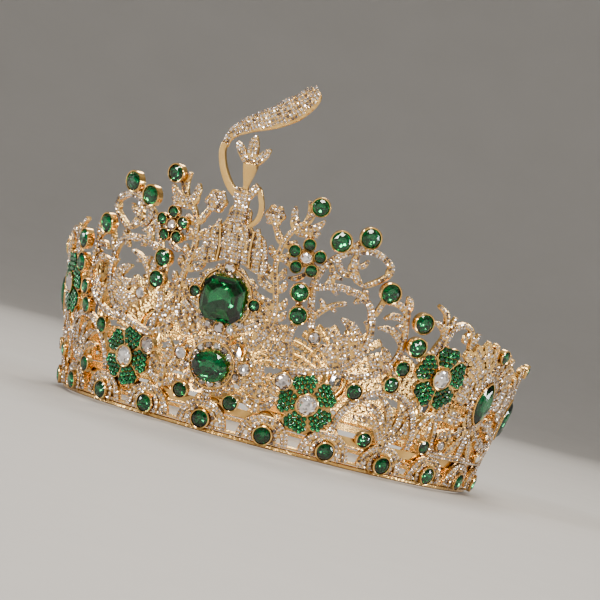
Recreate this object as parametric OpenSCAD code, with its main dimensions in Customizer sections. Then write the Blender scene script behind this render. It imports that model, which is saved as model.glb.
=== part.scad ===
// Full round crown of cast and pave-set filigree: a bottom ring and an inner rail, a band of
// small arches, a tall front of scrolls, leaves and flowers with a figure on top, and a lower
// run of pointed medallions round the sides and back. Millimetres, +Z up, the front faces -Y.
// Places on the wall are given as an angle from the front centre and a height above the table.

/* [Ring and wall] */
// outer radius of the bottom ring
ring_radius = 75.4; // [60:0.1:95]
// how thick the bottom ring is, in and out
ring_width = 1.9; // [1.2:0.1:4]
// height of the bottom ring
ring_height = 1.5; // [1:0.1:4]
// outer radius that the leaning wall would have at the table
wall_radius = 75.9; // [60:0.1:95]
// how far the wall leans out for each millimetre of height
wall_flare = 0.2; // [0:0.01:0.4]
// thickness of the cast filigree
metal = 1.5; // [1:0.1:3]
// how far the cast relief stands up from the filigree
relief = 0.5; // [0.2:0.1:1]
// small gap between pieces that lie against each other
gap = 0.12; // [0.1:0.01:0.3]

/* [Inner rail] */
// height of the lower edge of the polished inner rail
rail_low = 7.8; // [6:0.1:12]
// height of the rail strip itself
rail_height = 2.6; // [1:0.1:5]
// thickness of the rail strip
rail_width = 0.9; // [0.5:0.1:2]

/* [Arches] */
// number of arches in the front half, an odd number
front_arches = 11; // [7:2:15]
// angle that one front arch takes
front_pitch = 15.652; // [12:0.001:24]
// number of arches in the back half, an odd number
back_arches = 11; // [7:2:15]
// height of the top of the arches
arch_top = 10.3; // [8:0.1:16]
// half width of an arch at its foot
arch_half = 9.0; // [6:0.1:12]
// radius of the round stone in each arch
arch_stone = 2.9; // [1.5:0.1:4]
// height of the middle of the arch stones
arch_stone_height = 3.7; // [2:0.1:6]

/* [Stones] */
// half width of the big cushion stone
cushion_half = 7.0; // [4:0.1:9]
// height of the middle of the big cushion stone
cushion_height = 43.5; // [35:0.1:50]
// half width of the oval stone under it
oval_half = 6.0; // [4:0.1:8]
// half height of the oval stone
oval_rise = 5.0; // [3:0.1:7]
// height of the middle of the oval stone
oval_height = 21.4; // [16:0.1:26]
// half width of a medallion's pointed stone
medallion_half = 4.6; // [3:0.1:7]
// half height of a medallion's pointed stone
medallion_rise = 7.2; // [5:0.1:10]
// how far a bezel reaches past its stone
bezel = 0.5; // [0.3:0.05:1]

/* [Shown] */
// the piece to draw, or all of them

/* [Hidden] */
back_pitch = (360 - front_arches * front_pitch) / back_arches;
// the filigree is flat plates round the wall, so many in the full round, so many each side of the front
plates = 44;
front_plates = 7;
plate_pitch = 360 / plates;
// top of the plain sill that the side fronds stand on
sill = 13.0;
// angle by which neighbouring plates run into each other
lap = 0.08;
// stones stand this far in front of the wall, clear of the ridges between plates
seat = 0.3;

// columns: angle, height, stone radius. Round green stones with a bezel, right side.
top_stones = [
    [15.5, 79.2, 2.8], [21.1, 70.6, 3.2], [26.5, 74.0, 3.2], [34.0, 59.0, 3.2],
    [15.7, 51.8, 2.8], [16.6, 44.6, 2.8], [43.6, 52.6, 3.2], [44.1, 44.6, 3.1]];
// columns: angle, height, stone radius. Smaller round green stones, right side.
small_stones = [
    [6.4, 11.6, 2.5], [39.8, 11.0, 2.5], [57.2, 13.4, 2.3], [42.9, 36.6, 2.5],
    [41.6, 30.6, 2.6], [33.5, 25.4, 2.6], [6.9, 43.8, 1.9]];
// columns: angle, height, stone radius. Round clear stones, right side.
clear_stones = [
    [7.9, 23.2, 2.1], [17.1, 22.9, 2.7], [21.2, 38.8, 2.0], [62.6, 15.0, 1.9], [84.0, 13.6, 1.9]];
// columns: angle, height, stone radius. Clear stones on the centre line.
centre_clear_stones = [[0.25, 34.2, 1.8], [0, 53.6, 1.8]];
// columns: angle, height, how far a petal reaches, turn of the petals. Large flowers, right side.
flowers = [[23.8, 17.4, 9.2, 38], [54.0, 36.7, 10.6, 18]];
// columns: angle, height, ring radius, stone radius, turn. Small flowers of round stones.
small_flowers = [[15.2, 62.6, 4.3, 1.9, 18]];
// columns: angle, half span, height of the stone's middle, height of the top stone.
medallions = [
    [72.9, 11.4, 32.3, 49.5], [97.0, 12.0, 29.0, 47.5], [121.0, 12.2, 27.2, 46.8],
    [149.6, 15.4, 26.0, 46.5]];
back_medallion = [180, 15.2, 25.6, 46.5];
medallion_rows = concat(medallions, [back_medallion],
    [for (v = medallions) [360 - v[0], v[1], v[2], v[3]]]);

// columns: start width, end width, points of angle and height. Scrolls and stems, right side.
strokes = [
    [2.4, 1.7, [[17, 26], [20.2, 27.1], [25.6, 29.2], [30.7, 33.3], [33.1, 40.4], [32.6, 47.9],
                [30.4, 53.8], [25.3, 56.2], [21.1, 55.4], [18.5, 53.8]]],
    [2.2, 1.6, [[20.4, 40], [18.6, 49.2], [18.1, 55.8], [19.8, 62.5], [23.3, 67.5], [28.1, 69.7],
                [32.0, 67.8], [33.0, 64.6], [31.2, 61.4], [28.4, 58.4]]],
    [1.9, 1.2, [[19.6, 44.5], [21.3, 47.6], [23.3, 50.2], [25.9, 51.7]]],
    [2.0, 1.6, [[25.7, 29.3], [33.2, 30], [38.6, 33.8], [41.2, 39.5], [41.2, 46], [40.2, 52], [39.4, 56]]],
    [1.9, 1.9, [[31.3, 10.9], [32.2, 17], [35.0, 22.6], [39, 26.6], [43.4, 27.6], [47.6, 26.2],
                [50.8, 22], [52.6, 16.4], [52.9, 10.9]]],
    [1.7, 1.5, [[52.9, 10.9], [53.8, 19], [55.6, 23.2], [57.8, 23.4], [59.6, 18], [60.2, 10.9]]],
    [1.8, 1.5, [[8.6, 31.5], [10.9, 36.7], [11.5, 43], [10.6, 50], [9.3, 58], [10.2, 67], [12.7, 72.6]]],
    [1.7, 1.7, [[12.4, 10.5], [12.4, 15], [12.2, 20]]],
    [2.4, 2.0, [[17.2, 24], [17, 30.8], [15.8, 36.7], [16.4, 43], [15.9, 50]]],
    [2.0, 1.4, [[49.4, 40], [48.6, 46], [48.0, 52], [47.0, 59]]],
    [2.0, 1.3, [[52.2, 44], [53.2, 51], [55.2, 54.8], [58, 54.4], [60, 50.5]]],
    [2.2, 1.8, [[0, 33.0], [4, 34.6], [7, 36.8], [9.6, 39.8]]],
    [1.6, 1.4, [[13.2, 73], [15.5, 79]]],
    [2.0, 2.0, [[6.4, 11.2], [5.4, 17.4]]],
    [1.6, 1.6, [[57.2, 12], [57.0, 23.3]]],
    [1.4, 1.4, [[33.4, 27.0], [33.2, 30.4]]],
    [1.4, 1.4, [[41.4, 31.0], [40.0, 36.4]]],
    [1.6, 1.6, [[6.6, 72.3], [8.2, 67.6], [9.8, 64.8]]],
    [2.0, 1.6, [[23.3, 67.3], [24.6, 70.6], [26.5, 73.6]]],
    [1.6, 1.6, [[32.8, 50.5], [33.6, 55], [34.2, 58.6]]]];
// how much narrower the raised middle of a scroll is than the scroll, and how deep it is rooted
shoulder = 0.8;
root = 0.6;

// columns: base angle, base height, tip angle, tip height, width. Single leaves, right side.
leaves = [
    [31.7, 35.5, 25.9, 46.6, 4.8], [29.6, 31.8, 23.0, 42.2, 4.4], [27.2, 30.0, 22.6, 37.0, 4.4],
    [21.4, 47.6, 20.2, 50.8, 1.6], [23.0, 50.4, 24.2, 48.6, 1.4], [20.4, 55.4, 20.8, 59.0, 1.6],
    [20.6, 62.6, 23.6, 58.8, 1.8], [21.5, 65.2, 25.6, 60.4, 2.0], [25.2, 67.6, 28.3, 58.4, 2.8],
    [41.2, 43.0, 34.5, 46.9, 2.2], [38.9, 33.0, 37.0, 41.2, 4.2], [36.4, 31.2, 34.3, 37.4, 3.2],
    [40.4, 50.5, 35.1, 50.3, 2.0], [39.8, 53.2, 35.2, 55.4, 2.0], [39.4, 54.0, 38.6, 59.0, 2.6],
    [44.6, 10.8, 36.4, 17.9, 2.4], [44.8, 11.6, 36.2, 22.8, 2.4], [45.0, 12.0, 40.4, 25.8, 2.6],
    [45.3, 12.0, 45.8, 26.2, 2.4], [45.8, 11.2, 49.6, 21.6, 2.4], [45.4, 10.4, 45.4, 13.0, 3.6],
    [48.4, 48.0, 44.9, 54.6, 1.8], [48.2, 50.5, 50.6, 55.8, 1.8], [53.0, 50.0, 51.0, 57.0, 2.0],
    [56.6, 54.6, 58.4, 50.8, 1.6], [48.2, 25.6, 51.0, 30.0, 3.0], [58.0, 24.0, 58.6, 31.0, 3.4],
    [12.4, 12.0, 8.7, 15.8, 2.3], [12.4, 12.4, 16.2, 16.4, 2.3], [12.3, 16.0, 9.0, 20.0, 2.3],
    [12.3, 16.2, 15.9, 21.4, 2.4], [12.2, 19.0, 11.8, 26.0, 2.6], [11.9, 21.5, 7.9, 28.2, 2.2],
    [16.2, 36.0, 12.4, 40.2, 2.0], [16.6, 32.5, 13.0, 36.6, 2.0], [17.0, 28.0, 12.2, 31.6, 2.2],
    [10.0, 33.8, 6.6, 29.6, 2.4], [12.4, 71.0, 10.6, 77.3, 2.2], [12.8, 71.6, 12.9, 80.0, 2.4],
    [12.6, 71.4, 16.9, 75.4, 2.2], [12.2, 70.6, 16.6, 71.2, 2.2], [6.4, 18.6, 10.2, 22.0, 2.2],
    [15.8, 57.6, 12.4, 55.0, 1.6], [15.2, 60.0, 10.0, 60.6, 1.6], [17.4, 64.0, 20.4, 63.6, 1.6],
    [55.0, 42.0, 60.8, 44.0, 3.0]];

// columns: base across in mm, base height from the stone's middle, tip as a part of the half
// span, tip height from the middle, width. Fronds round a medallion, one side, as on the back one.
fronds = [
    [0.6, -9.0, 0.56, -12.8, 3.6], [1.6, -8.2, 1.03, -9.8, 4.8], [3.4, -6.2, 1.04, -4.4, 5.0],
    [5.2, -3.2, 1.04, 1.2, 5.0], [5.8, 0.2, 1.04, 6.8, 4.8], [5.4, 3.0, 0.97, 12.0, 4.2],
    [4.6, 5.0, 0.84, 16.2, 3.6], [3.6, 6.6, 0.62, 20.4, 3.2], [2.0, 7.8, 0.34, 22.0, 2.8]];
// how far the back medallion's middle lies under its top stone and over the sill
frond_rise = 20.9;
frond_drop = 12.6;

function wall(z) = wall_radius + wall_flare * z;
function span(z) = wall(z) * PI / 180;
function spot(a, z, d) = [(wall(z) + d) * sin(a), -(wall(z) + d) * cos(a), z];
function curve(p, n) = [for (i = [0 : len(p) - 2]) for (j = [0 : n - 1])
    let (t = j / n, a = p[max(i - 1, 0)], b = p[i], c = p[i + 1], d = p[min(i + 2, len(p) - 1)])
    0.5 * (2 * b + (c - a) * t + (2 * a - 5 * b + 4 * c - d) * t * t
           + (3 * b - a - 3 * c + d) * t * t * t), p[len(p) - 1]];
function section(q, i, w, low, high) =
    let (n = len(q), u = q[min(i + 1, n - 1)] - q[max(i - 1, 0)], k = span(q[i][1]),
         h = [u[0] * k, u[1]], s = [-h[1], h[0]] / norm(h) * w / 2)
    [for (side = [-1, 1]) for (d = [low, high]) spot(q[i][0] + side * s[0] / k, q[i][1] + side * s[1], d)];
function lens(a, z, half, rise, n) = let (r = (rise * rise + half * half) / (2 * half))
    [for (i = [0 : 4 * n]) let (side = i <= 2 * n ? 1 : -1, y = rise * (i <= 2 * n ? 1 - i / n : i / n - 3),
        x = side * (sqrt(max(r * r - y * y, 0)) - r + half)) [a + x / span(z), z + y]];
function ring_path(a, z, rx, ry, n) =
    [for (i = [0 : n]) [a + rx * cos(i * 360 / n) / span(z), z + ry * sin(i * 360 / n)]];
function disc(v, n) = [for (i = [0 : n - 1])
    [v[0] + v[2] * cos(i * 360 / n) / span(v[1]), v[1] + v[2] * sin(i * 360 / n)]];
function swapped(p, s) = [for (v = p) [s * v[0], v[1]]];
// a pointed leaf: narrow base, widest before the middle, then the tip
function leaf_outline(v) =
    let (k = span(v[1]), h = [(v[2] - v[0]) * k, v[3] - v[1]], n = [-h[1], h[0]] / norm(h) * v[4] / 2,
         m = [v[0] + 0.45 * (v[2] - v[0]), v[1] + 0.45 * (v[3] - v[1])])
    [for (u = [[[v[0], v[1]], 0.5], [m, 1], [[v[2], v[3]], 0], [m, -1], [[v[0], v[1]], -0.5]])
        [u[0][0] + u[1] * n[0] / k, u[0][1] + u[1] * n[1]]];
// both edges of a strap at one point of its path
function edges(q, i, w) =
    let (n = len(q), u = q[min(i + 1, n - 1)] - q[max(i - 1, 0)], k = span(q[i][1]),
         h = [u[0] * k, u[1]], s = [-h[1], h[0]] / norm(h) * w / 2)
    [[q[i][0] + s[0] / k, q[i][1] + s[1]], [q[i][0] - s[0] / k, q[i][1] - s[1]]];
// one heart-shaped petal of a large flower, i from 0 to 4
function petal(v, i) =
    let (t = v[3] + 72 * i, r = v[2], w = 0.52 * r)
    [for (u = [[1.6, -1.2], [0.55 * r, -0.92 * w], [0.85 * r, -0.88 * w], [r, -0.42 * w], [0.9 * r, 0],
               [r, 0.42 * w], [0.85 * r, 0.88 * w], [0.55 * r, 0.92 * w], [1.6, 1.2]])
        [v[0] + (u[0] * cos(t) - u[1] * sin(t)) / span(v[1]), v[1] + u[0] * sin(t) + u[1] * cos(t)]];
// where a place on the wall falls on the flat plate whose middle is at angle c
function flat(v, c) = [wall(v[1]) * tan(v[0] - c), v[1] * sqrt(1 + wall_flare * wall_flare)];

module both_sides() {
    children();
    mirror([1, 0, 0]) children();
}

// a place on the wall, with its own Z pointing straight out of the metal
module on_wall(a, z) {
    rotate([0, 0, a]) translate([0, -wall(z), z]) rotate([90 + atan(wall_flare), 0, 0]) children();
}

module block(p) {
    hull() polyhedron(points = p, faces = [[for (i = [0 : len(p) - 1]) i]]);
}

// a strap that follows the wall along a smooth curve
module strap(p, w0, w1, low, high, n) {
    q = curve(p, n);
    m = len(q) - 1;
    for (i = [0 : m - 1])
        block(concat(section(q, i, w0 + (w1 - w0) * i / m, low, high),
                     section(q, i + 1, w0 + (w1 - w0) * (i + 1) / m, low, high)));
}

// one outline on the wall, drawn on the plate c if it reaches it
module piece(p, c) {
    if (min([for (v = p) v[0]]) < c + plate_pitch && max([for (v = p) v[0]]) > c - plate_pitch)
        polygon([for (v = p) flat(v, c)]);
}

// a strap along a smooth curve, one short length at a time
module strap_piece(p, w0, w1, n, c) {
    q = curve(p, n);
    m = len(q) - 1;
    for (i = [0 : m - 1]) {
        e = edges(q, i, w0 + (w1 - w0) * i / m);
        f = edges(q, i + 1, w0 + (w1 - w0) * (i + 1) / m);
        piece([e[0], f[0], f[1], e[1]], c);
    }
}

// pairs of leaves up a stem
module sprig(p, s, first, last, count, length, w, c) {
    q = curve(p, 4);
    for (i = [0 : count - 1]) {
        j = round((first + (last - first) * i / (count - 1)) * (len(q) - 2));
        t = atan2(q[j + 1][1] - q[j][1], (q[j + 1][0] - q[j][0]) * span(q[j][1]));
        for (turn = [-48, 48])
            piece(swapped(leaf_outline([q[j][0], q[j][1], q[j][0] + length * cos(t + turn) / span(q[j][1]),
                q[j][1] + length * sin(t + turn), w]), s), c);
    }
}

// one flat plate of the leaning wall, cut to its share of the round: the first child is the
// outline of the pierced sheet, the second the outline of the relief raised on it
module wall_plate(c, low, high, left, right) {
    l = -plate_pitch / 2 - left;
    r = plate_pitch / 2 + right;
    rotate([0, 0, c]) translate([0, -wall_radius, 0]) rotate([90 + atan(wall_flare), 0, 0]) {
        translate([0, 0, -metal]) linear_extrude(metal) offset(delta = 0.01) intersection() {
            share([l, r], low, high, c);
            children(0);
        }
        translate([0, 0, -root]) linear_extrude(root + relief) offset(delta = 0.01) intersection() {
            share([l + 0.03, r - 0.03], low + 0.2, high, c);
            children(1);
        }
    }
}

// the share of the wall that plate c takes, between two angles from its middle
module share(turn, low, high, c) {
    polygon([for (v = [[turn[0], low], [turn[1], low], [turn[1], high], [turn[0], high]])
        flat([c + v[0], v[1]], c)]);
}

// a small round stone: girdle, crown facets and a flat table
module cut_stone(r, sides) {
    translate([0, 0, seat + gap]) hull() cylinder(r1 = r, r2 = 0.58 * r, h = 0.62 * r, $fn = sides);
}

// a main round stone: cut below the girdle as well
module fine_stone(r, sides) {
    translate([0, 0, seat + gap]) hull() {
        cylinder(r = 0.72 * r, h = 0.1, $fn = sides);
        translate([0, 0, 0.32 * r]) cylinder(r = r, h = 0.01, $fn = sides);
        translate([0, 0, 0.78 * r]) cylinder(r = 0.56 * r, h = 0.01, $fn = sides);
    }
}

// straight inside, where the head goes in, and eased edges outside
module base_ring() {
    inside = ring_radius - ring_width;
    ease = 0.35;
    color("#d9b56a") rotate_extrude($fn = 180) polygon([
        [inside, 0], [ring_radius - ease, 0], [ring_radius, ease], [ring_radius, ring_height - ease],
        [ring_radius - ease, ring_height], [inside, ring_height]]);
}

module inner_rail() {
    in = wall(rail_low) - metal - gap - rail_width;
    color("#e2c483") rotate_extrude($fn = 180) polygon([
        [in, rail_low], [in + rail_width, rail_low],
        [in + rail_width + wall_flare * rail_height, rail_low + rail_height],
        [in + wall_flare * rail_height, rail_low + rail_height]]);
}

function arch_angle(k) = k <= front_arches / 2 ? k * front_pitch
    : (front_arches - 1) / 2 * front_pitch + (front_pitch + back_pitch) / 2
      + (k - (front_arches + 1) / 2) * back_pitch;
function joint_angle(k) = k < front_arches / 2 ? (k + 0.5) * front_pitch
    : front_arches / 2 * front_pitch + (k - (front_arches - 1) / 2) * back_pitch;
arch_half_count = (front_arches + back_arches) / 2;

// outline of the gap between two arches: straight feet, then the rounded shoulders
function arch_gap(half) = concat(
    [[-half, ring_height + 1.0], [half, ring_height + 1.0]],
    [for (t = [0 : 15 : 75]) [half + arch_half * (1 - cos(t)), 5.2 + (arch_top - 5.2) * sin(t)]],
    [[half + arch_half, arch_top + 1], [-half - arch_half, arch_top + 1]],
    [for (t = [75 : -15 : 0]) [-half - arch_half * (1 - cos(t)), 5.2 + (arch_top - 5.2) * sin(t)]]);

module arch_band() {
    low = ring_height + gap;
    color("#d9b56a") difference() {
        union() {
            rotate_extrude($fn = 180) polygon([
                [wall(low) - metal, low], [wall(low), low], [wall(arch_top), arch_top],
                [wall(arch_top) - metal, arch_top]]);
            for (k = [0 : arch_half_count]) for (s = (k == 0 || k == arch_half_count) ? [1] : [-1, 1])
                on_wall(s * arch_angle(k), arch_stone_height + 0.5)
                    translate([0, 0, -0.9]) cylinder(r = arch_stone - 0.4, h = 0.9 + seat, $fn = 24);
        }
        for (k = [0 : arch_half_count - 1]) for (s = [-1, 1]) rotate([0, 0, s * joint_angle(k)])
            translate([0, -wall_radius + 8, 0]) rotate([90, 0, 0]) linear_extrude(16)
                polygon(arch_gap((k < front_arches / 2 ? 21.0 : 22.9) / 2 - arch_half));
        for (k = [0 : arch_half_count]) for (s = (k == 0 || k == arch_half_count) ? [1] : [-1, 1])
            for (side = [-1, 1]) rotate([0, 0, s * arch_angle(k)])
                translate([side * 5.0, -wall_radius + 8, 5.2]) rotate([90, 0, 0]) linear_extrude(16)
                    polygon([[-0.9 * side, -1.7], [0.9 * side, -1.7],
                             [-0.4 * side, 1.9], [-1.7 * side, 1.5]]);
    }
}

// all the outlines of the tall front, as they fall on plate c
module front_outlines(c) {
    for (s = [-1, 1]) {
        for (v = strokes) strap_piece(swapped(v[2], s), v[0], v[1], 2, c);
        for (v = leaves) piece(swapped(leaf_outline(v), s), c);
        sprig(strokes[6][2], s, 0.08, 0.95, 9, 4.4, 1.9, c);
        for (v = top_stones) piece(swapped(disc(v + [0, 0, bezel], 12), s), c);
        for (v = small_stones) if (v[1] > 14) piece(swapped(disc(v + [0, 0, bezel], 12), s), c);
        for (v = clear_stones) if (v[0] < 60) piece(swapped(disc(v + [0, 0, bezel], 12), s), c);
        for (v = flowers) {
            piece(swapped(disc([v[0], v[1], 3.4], 12), s), c);
            for (i = [0 : 4]) piece(swapped(petal(v, i), s), c);
        }
        for (v = small_flowers) {
            piece(swapped(disc([v[0], v[1], 2.4], 8), s), c);
            for (u = flower_ring(v)) piece(swapped(disc(u + [0, 0, bezel], 10), s), c);
        }
        // a scalloped rosette over each sprig
        for (i = [0 : 5])
            piece(swapped(disc([6.6 + 2.0 * cos(60 * i) / span(72), 72.3 + 2.0 * sin(60 * i), 1.5], 8),
                          s), c);
        // feet of the small raised stones over the arches
        for (v = small_stones) if (v[1] < 14) piece(swapped(disc(v + [0, 0.7, bezel - 0.3], 12), s), c);
        // open petals round the oval stone and bead clusters round the cushion stone
        for (i = [0 : 6])
            piece(swapped(ray(oval_height + 0.6, -90 + i * 27, 6.4, 6.6, 9.9, 10.6, 3.0), s), c);
        for (i = [0 : 5])
            piece(swapped(ray(cushion_height, -78 + i * 30, 7.6, 8.0, 11.4, 11.0, 3.2), s), c);
    }
    strap_piece(ring_path(0, oval_height + 0.6, 6.9, 7.1, 16), 3.0, 3.0, 1, c);
    strap_piece(ring_path(0, cushion_height, 8.2, 8.6, 16), 2.8, 2.8, 1, c);
    piece(disc([0, oval_height, 5.6], 16), c);
    for (v = centre_clear_stones) piece(disc(v + [0, 0, bezel], 12), c);
    for (v = [[10.5, 13.8, 3.4], [29.0, 35.6, 5.6], [50.6, 56.0, 5.0]])
        strap_piece([[0, v[0]], [0, v[1]]], v[2], v[2], 1, c);
    strap_piece([[-9.4, 58.0], [0, 57.2], [9.4, 58.0]], 2.2, 2.2, 4, c);
}

// the raised middles of the scrolls, kept clear of every stone and its bezel
module front_relief(c) {
    for (s = [-1, 1]) difference() {
        union() for (v = strokes) strap_piece(swapped(v[2], s), v[0] - shoulder, v[1] - shoulder, 2, c);
        for (v = concat(top_stones, small_stones, clear_stones))
            piece(swapped(disc(v + [0, 0, bezel + 0.1], 12), s), c);
        for (v = flowers) piece(swapped(disc([v[0], v[1], v[2] + 0.3], 16), s), c);
        for (v = small_flowers) piece(swapped(disc([v[0], v[1], v[2] + v[3] + bezel], 16), s), c);
        for (v = [[cushion_height, 8.7], [oval_height, 6.7], [34.2, 2.4]])
            piece(disc([0, v[0], v[1]], 16), c);
    }
}

function flower_ring(v) = [for (i = [0 : 4]) [v[0] + v[2] * cos(v[4] + 72 * i) / span(v[1]),
    v[1] + v[2] * sin(v[4] + 72 * i), v[3]]];
function ray(z, t, x0, y0, x1, y1, w) = leaf_outline([x0 * cos(t) / span(z), z + y0 * sin(t),
    x1 * cos(t) / span(z), z + y1 * sin(t), w]);

module front_filigree() {
    color("#d9b56a") union()
        for (i = [-front_plates : front_plates])
            wall_plate(i * plate_pitch, arch_top + gap, 95, i == -front_plates ? -0.15 : lap,
                       i == front_plates ? -0.15 : lap) {
                front_outlines(i * plate_pitch);
                front_relief(i * plate_pitch);
            }
}

// pointed frame, fronds, neck and top seat of one medallion
module medallion_outlines(v, c) {
    k = v[1];
    strap_piece(lens(v[0], v[2], medallion_half + 1.4, medallion_rise + 1.8, 3), 3.4, 3.4, 1, c);
    for (s = [-1, 1]) for (f = fronds)
        piece(leaf_outline([v[0] + s * f[0] / span(v[2]), v[2] + f[1], v[0] + s * f[2] * k,
            v[2] + f[3] * (f[3] > 0 ? (v[3] - v[2]) / frond_rise : (v[2] - sill) / frond_drop), f[4]]), c);
    strap_piece([[v[0], v[2] + 8.4], [v[0], v[3]]], 2.6, 2.6, 1, c);
    strap_piece([[v[0], 10.6], [v[0], v[2] - 8]], 5.0, 3.4, 1, c);
    piece(disc([v[0], v[3], 2.8], 12), c);
}

module sill_line(w, c) {
    strap_piece([[c - plate_pitch, sill - 1.4], [c + plate_pitch, sill - 1.4]], w, w, 4, c);
}

module side_clear_stones(more, c) {
    for (s = [0, 1]) for (v = clear_stones) if (v[0] > 60)
        piece(disc([s * 360 + (1 - 2 * s) * v[0], v[1], v[2] + bezel + more], 12), c);
}

// all the outlines of the sides and the back, as they fall on plate c
module side_outlines(c) {
    for (v = medallion_rows) medallion_outlines(v, c);
    side_clear_stones(0, c);
    sill_line(2.8, c);
}

// the raised pointed collar of each medallion and a raised line along the sill
module side_relief(c) {
    for (v = medallion_rows)
        strap_piece(lens(v[0], v[2], medallion_half + 2.0, medallion_rise + 2.5, 3), 1.2, 1.2, 1, c);
    difference() {
        sill_line(1.4, c);
        side_clear_stones(0.1, c);
    }
}

module side_filigree() {
    color("#d9b56a") union()
        for (i = [front_plates + 1 : plates - front_plates - 1]) let (c = i * plate_pitch)
            wall_plate(c, arch_top + gap, 70, i == front_plates + 1 ? -0.15 : lap,
                       i == plates - front_plates - 1 ? -0.15 : lap) {
                side_outlines(c);
                side_relief(c);
            }
}

// the little figure on the centre line, a plume held over its head
module finial_figure() {
    low = seat + 0.05;
    high = 2.2;
    skirt = [[2.2, 55.8], [3.4, 60.6], [5.2, 66.4]];
    fold = [[1.4, 55.8], [2.0, 60.6], [3.0, 65.4]];
    color("#e2c483") union() both_sides() {
        block(concat(section(skirt, 0, 3.4, low, high),
            section(skirt, 1, 4.0, low, high),
            [spot(5.3, 67.2, low), spot(5.3, 67.2, high)]));
        block(concat(section(fold, 0, 3.0, low, high + 0.3),
            section(fold, 1, 3.4, low, high + 0.3),
            [spot(3.0, 66.0, low), spot(3.0, 66.0, high + 0.3)]));
        leaf_petal(0.4, 86.4, 3.5, 92.7, 2.3);
    }
    color("#e2c483") union() {
        strap([[0, 55.8], [0, 60], [0, 66], [0, 70.6]], 5.4, 3.6, low, high + 0.4, 1);
        strap([[0, 70], [0, 73.4], [0, 76.6], [0.1, 78.4]], 4.6, 6.4, low, high + 0.6, 1);
        strap([[0, 78.2], [0, 79.6], [0.1, 81.2]], 3.6, 1.8, 0.6, high, 1);
        strap([[0.1, 81], [0.2, 83.4], [0.25, 85.8], [0.2, 87.2]], 1.9, 4.7, 0.5, high + 0.7, 1);
        strap([[0.6, 76.6], [1.7, 78.8], [2.7, 80.6]], 3.0, 2.2, low, high, 1);
        strap([[2.6, 80.2], [3.5, 79.0], [4.6, 74.6], [4.5, 70.8], [2.2, 67.8]],
              1.9, 1.7, low, high - 0.4, 2);
        strap([[-1.2, 76.0], [-3.4, 79.2], [-5.3, 84.2], [-6.2, 88.8], [-5.5, 93.2]],
              2.8, 2.4, low, high, 2);
        strap([[-5.7, 91.6], [-4.4, 95.6], [-1.4, 98.9], [2.7, 102.3]], 2.6, 7.4, low, high - 0.4, 2);
        strap([[2.5, 102.2], [6.2, 106.3], [8.5, 110.6], [9.9, 113.8]], 7.6, 4.4, low, high - 0.4, 2);
        leaf_petal(0.15, 86.6, 0.1, 96.0, 2.9);
    }
}

module leaf_petal(a0, z0, a1, z1, w) {
    q = [[a0, z0], [a0 + 0.55 * (a1 - a0), z0 + 0.55 * (z1 - z0)], [a1, z1]];
    block(concat(section(q, 0, 0.5 * w, 0.6, 2.2), section(q, 1, w, 0.6, 2.2),
                 [spot(a1, z1, 0.6), spot(a1, z1, 2.2)]));
}

// cut cushion: square with clipped corners, girdle, crown and table
module cushion_stone() {
    color("#0d6b45") on_wall(0, cushion_height) translate([0, 0, gap]) hull() {
        for (v = [[0, 0.62], [1.0, 0.92], [1.7, 1.0], [3.6, 0.60]])
            translate([0, 0, v[0]]) linear_extrude(0.02) clipped_square(cushion_half * v[1]);
    }
}

module clipped_square(h) {
    c = 0.62 * h;
    polygon([[h, -c], [h, c], [c, h], [-c, h], [-h, c], [-h, -c], [-c, -h], [c, -h]]);
}

module oval_stone() {
    color("#0d6b45") on_wall(0, oval_height) translate([0, 0, seat + gap]) hull()
        for (v = [[0, 0.7], [0.9, 1.0], [1.2, 1.0], [2.6, 0.56]])
            translate([0, 0, v[0]]) linear_extrude(0.02) scale([oval_half * v[1], oval_rise * v[1]])
                circle(r = 1, $fn = 12);
}

module pointed_stone(v) {
    color("#0d6b45") on_wall(v[0], v[2]) translate([0, 0, seat + gap]) hull()
        for (u = [[0, 0.8], [0.7, 1.0], [1.0, 1.0], [2.8, 0.5]])
            translate([0, 0, u[0]]) linear_extrude(0.02)
                pointed_oval(medallion_half * u[1], medallion_rise * u[1]);
}

module pointed_oval(a, b) {
    polygon([[0, b], [0.62 * a, 0.62 * b], [a, 0.15 * b], [a, -0.15 * b], [0.62 * a, -0.62 * b],
             [0, -b], [-0.62 * a, -0.62 * b], [-a, -0.15 * b], [-a, 0.15 * b], [-0.62 * a, 0.62 * b]]);
}

module arch_stones() {
    color("#0d6b45") union()
        for (k = [0 : arch_half_count]) for (s = (k == 0 || k == arch_half_count) ? [1] : [-1, 1])
            on_wall(s * arch_angle(k), arch_stone_height + 0.5) cut_stone(arch_stone, 8);
}

module rim_stones() {
    color("#0d6b45") union() {
        both_sides() {
            for (v = small_stones) on_wall(v[0], v[1]) cut_stone(v[2], 8);
            for (v = small_flowers) for (i = [0 : 4])
                on_wall(v[0] + v[2] * cos(v[4] + 72 * i) / span(v[1]), v[1] + v[2] * sin(v[4] + 72 * i))
                    cut_stone(v[3], 8);
            for (v = medallions) on_wall(v[0], v[3]) cut_stone(2.3, 8);
        }
        on_wall(back_medallion[0], back_medallion[3]) cut_stone(2.3, 8);
    }
}

module clear_stone_field() {
    color("#e9e6ee") union() {
        both_sides() {
            for (v = clear_stones) on_wall(v[0], v[1]) cut_stone(v[2], 8);
            for (v = small_flowers) on_wall(v[0], v[1]) cut_stone(1.9, 8);
            for (v = flowers) on_wall(v[0], v[1]) cut_stone(2.9, 10);
        }
        for (v = centre_clear_stones) on_wall(v[0], v[1]) cut_stone(v[2], 8);
    }
}

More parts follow.
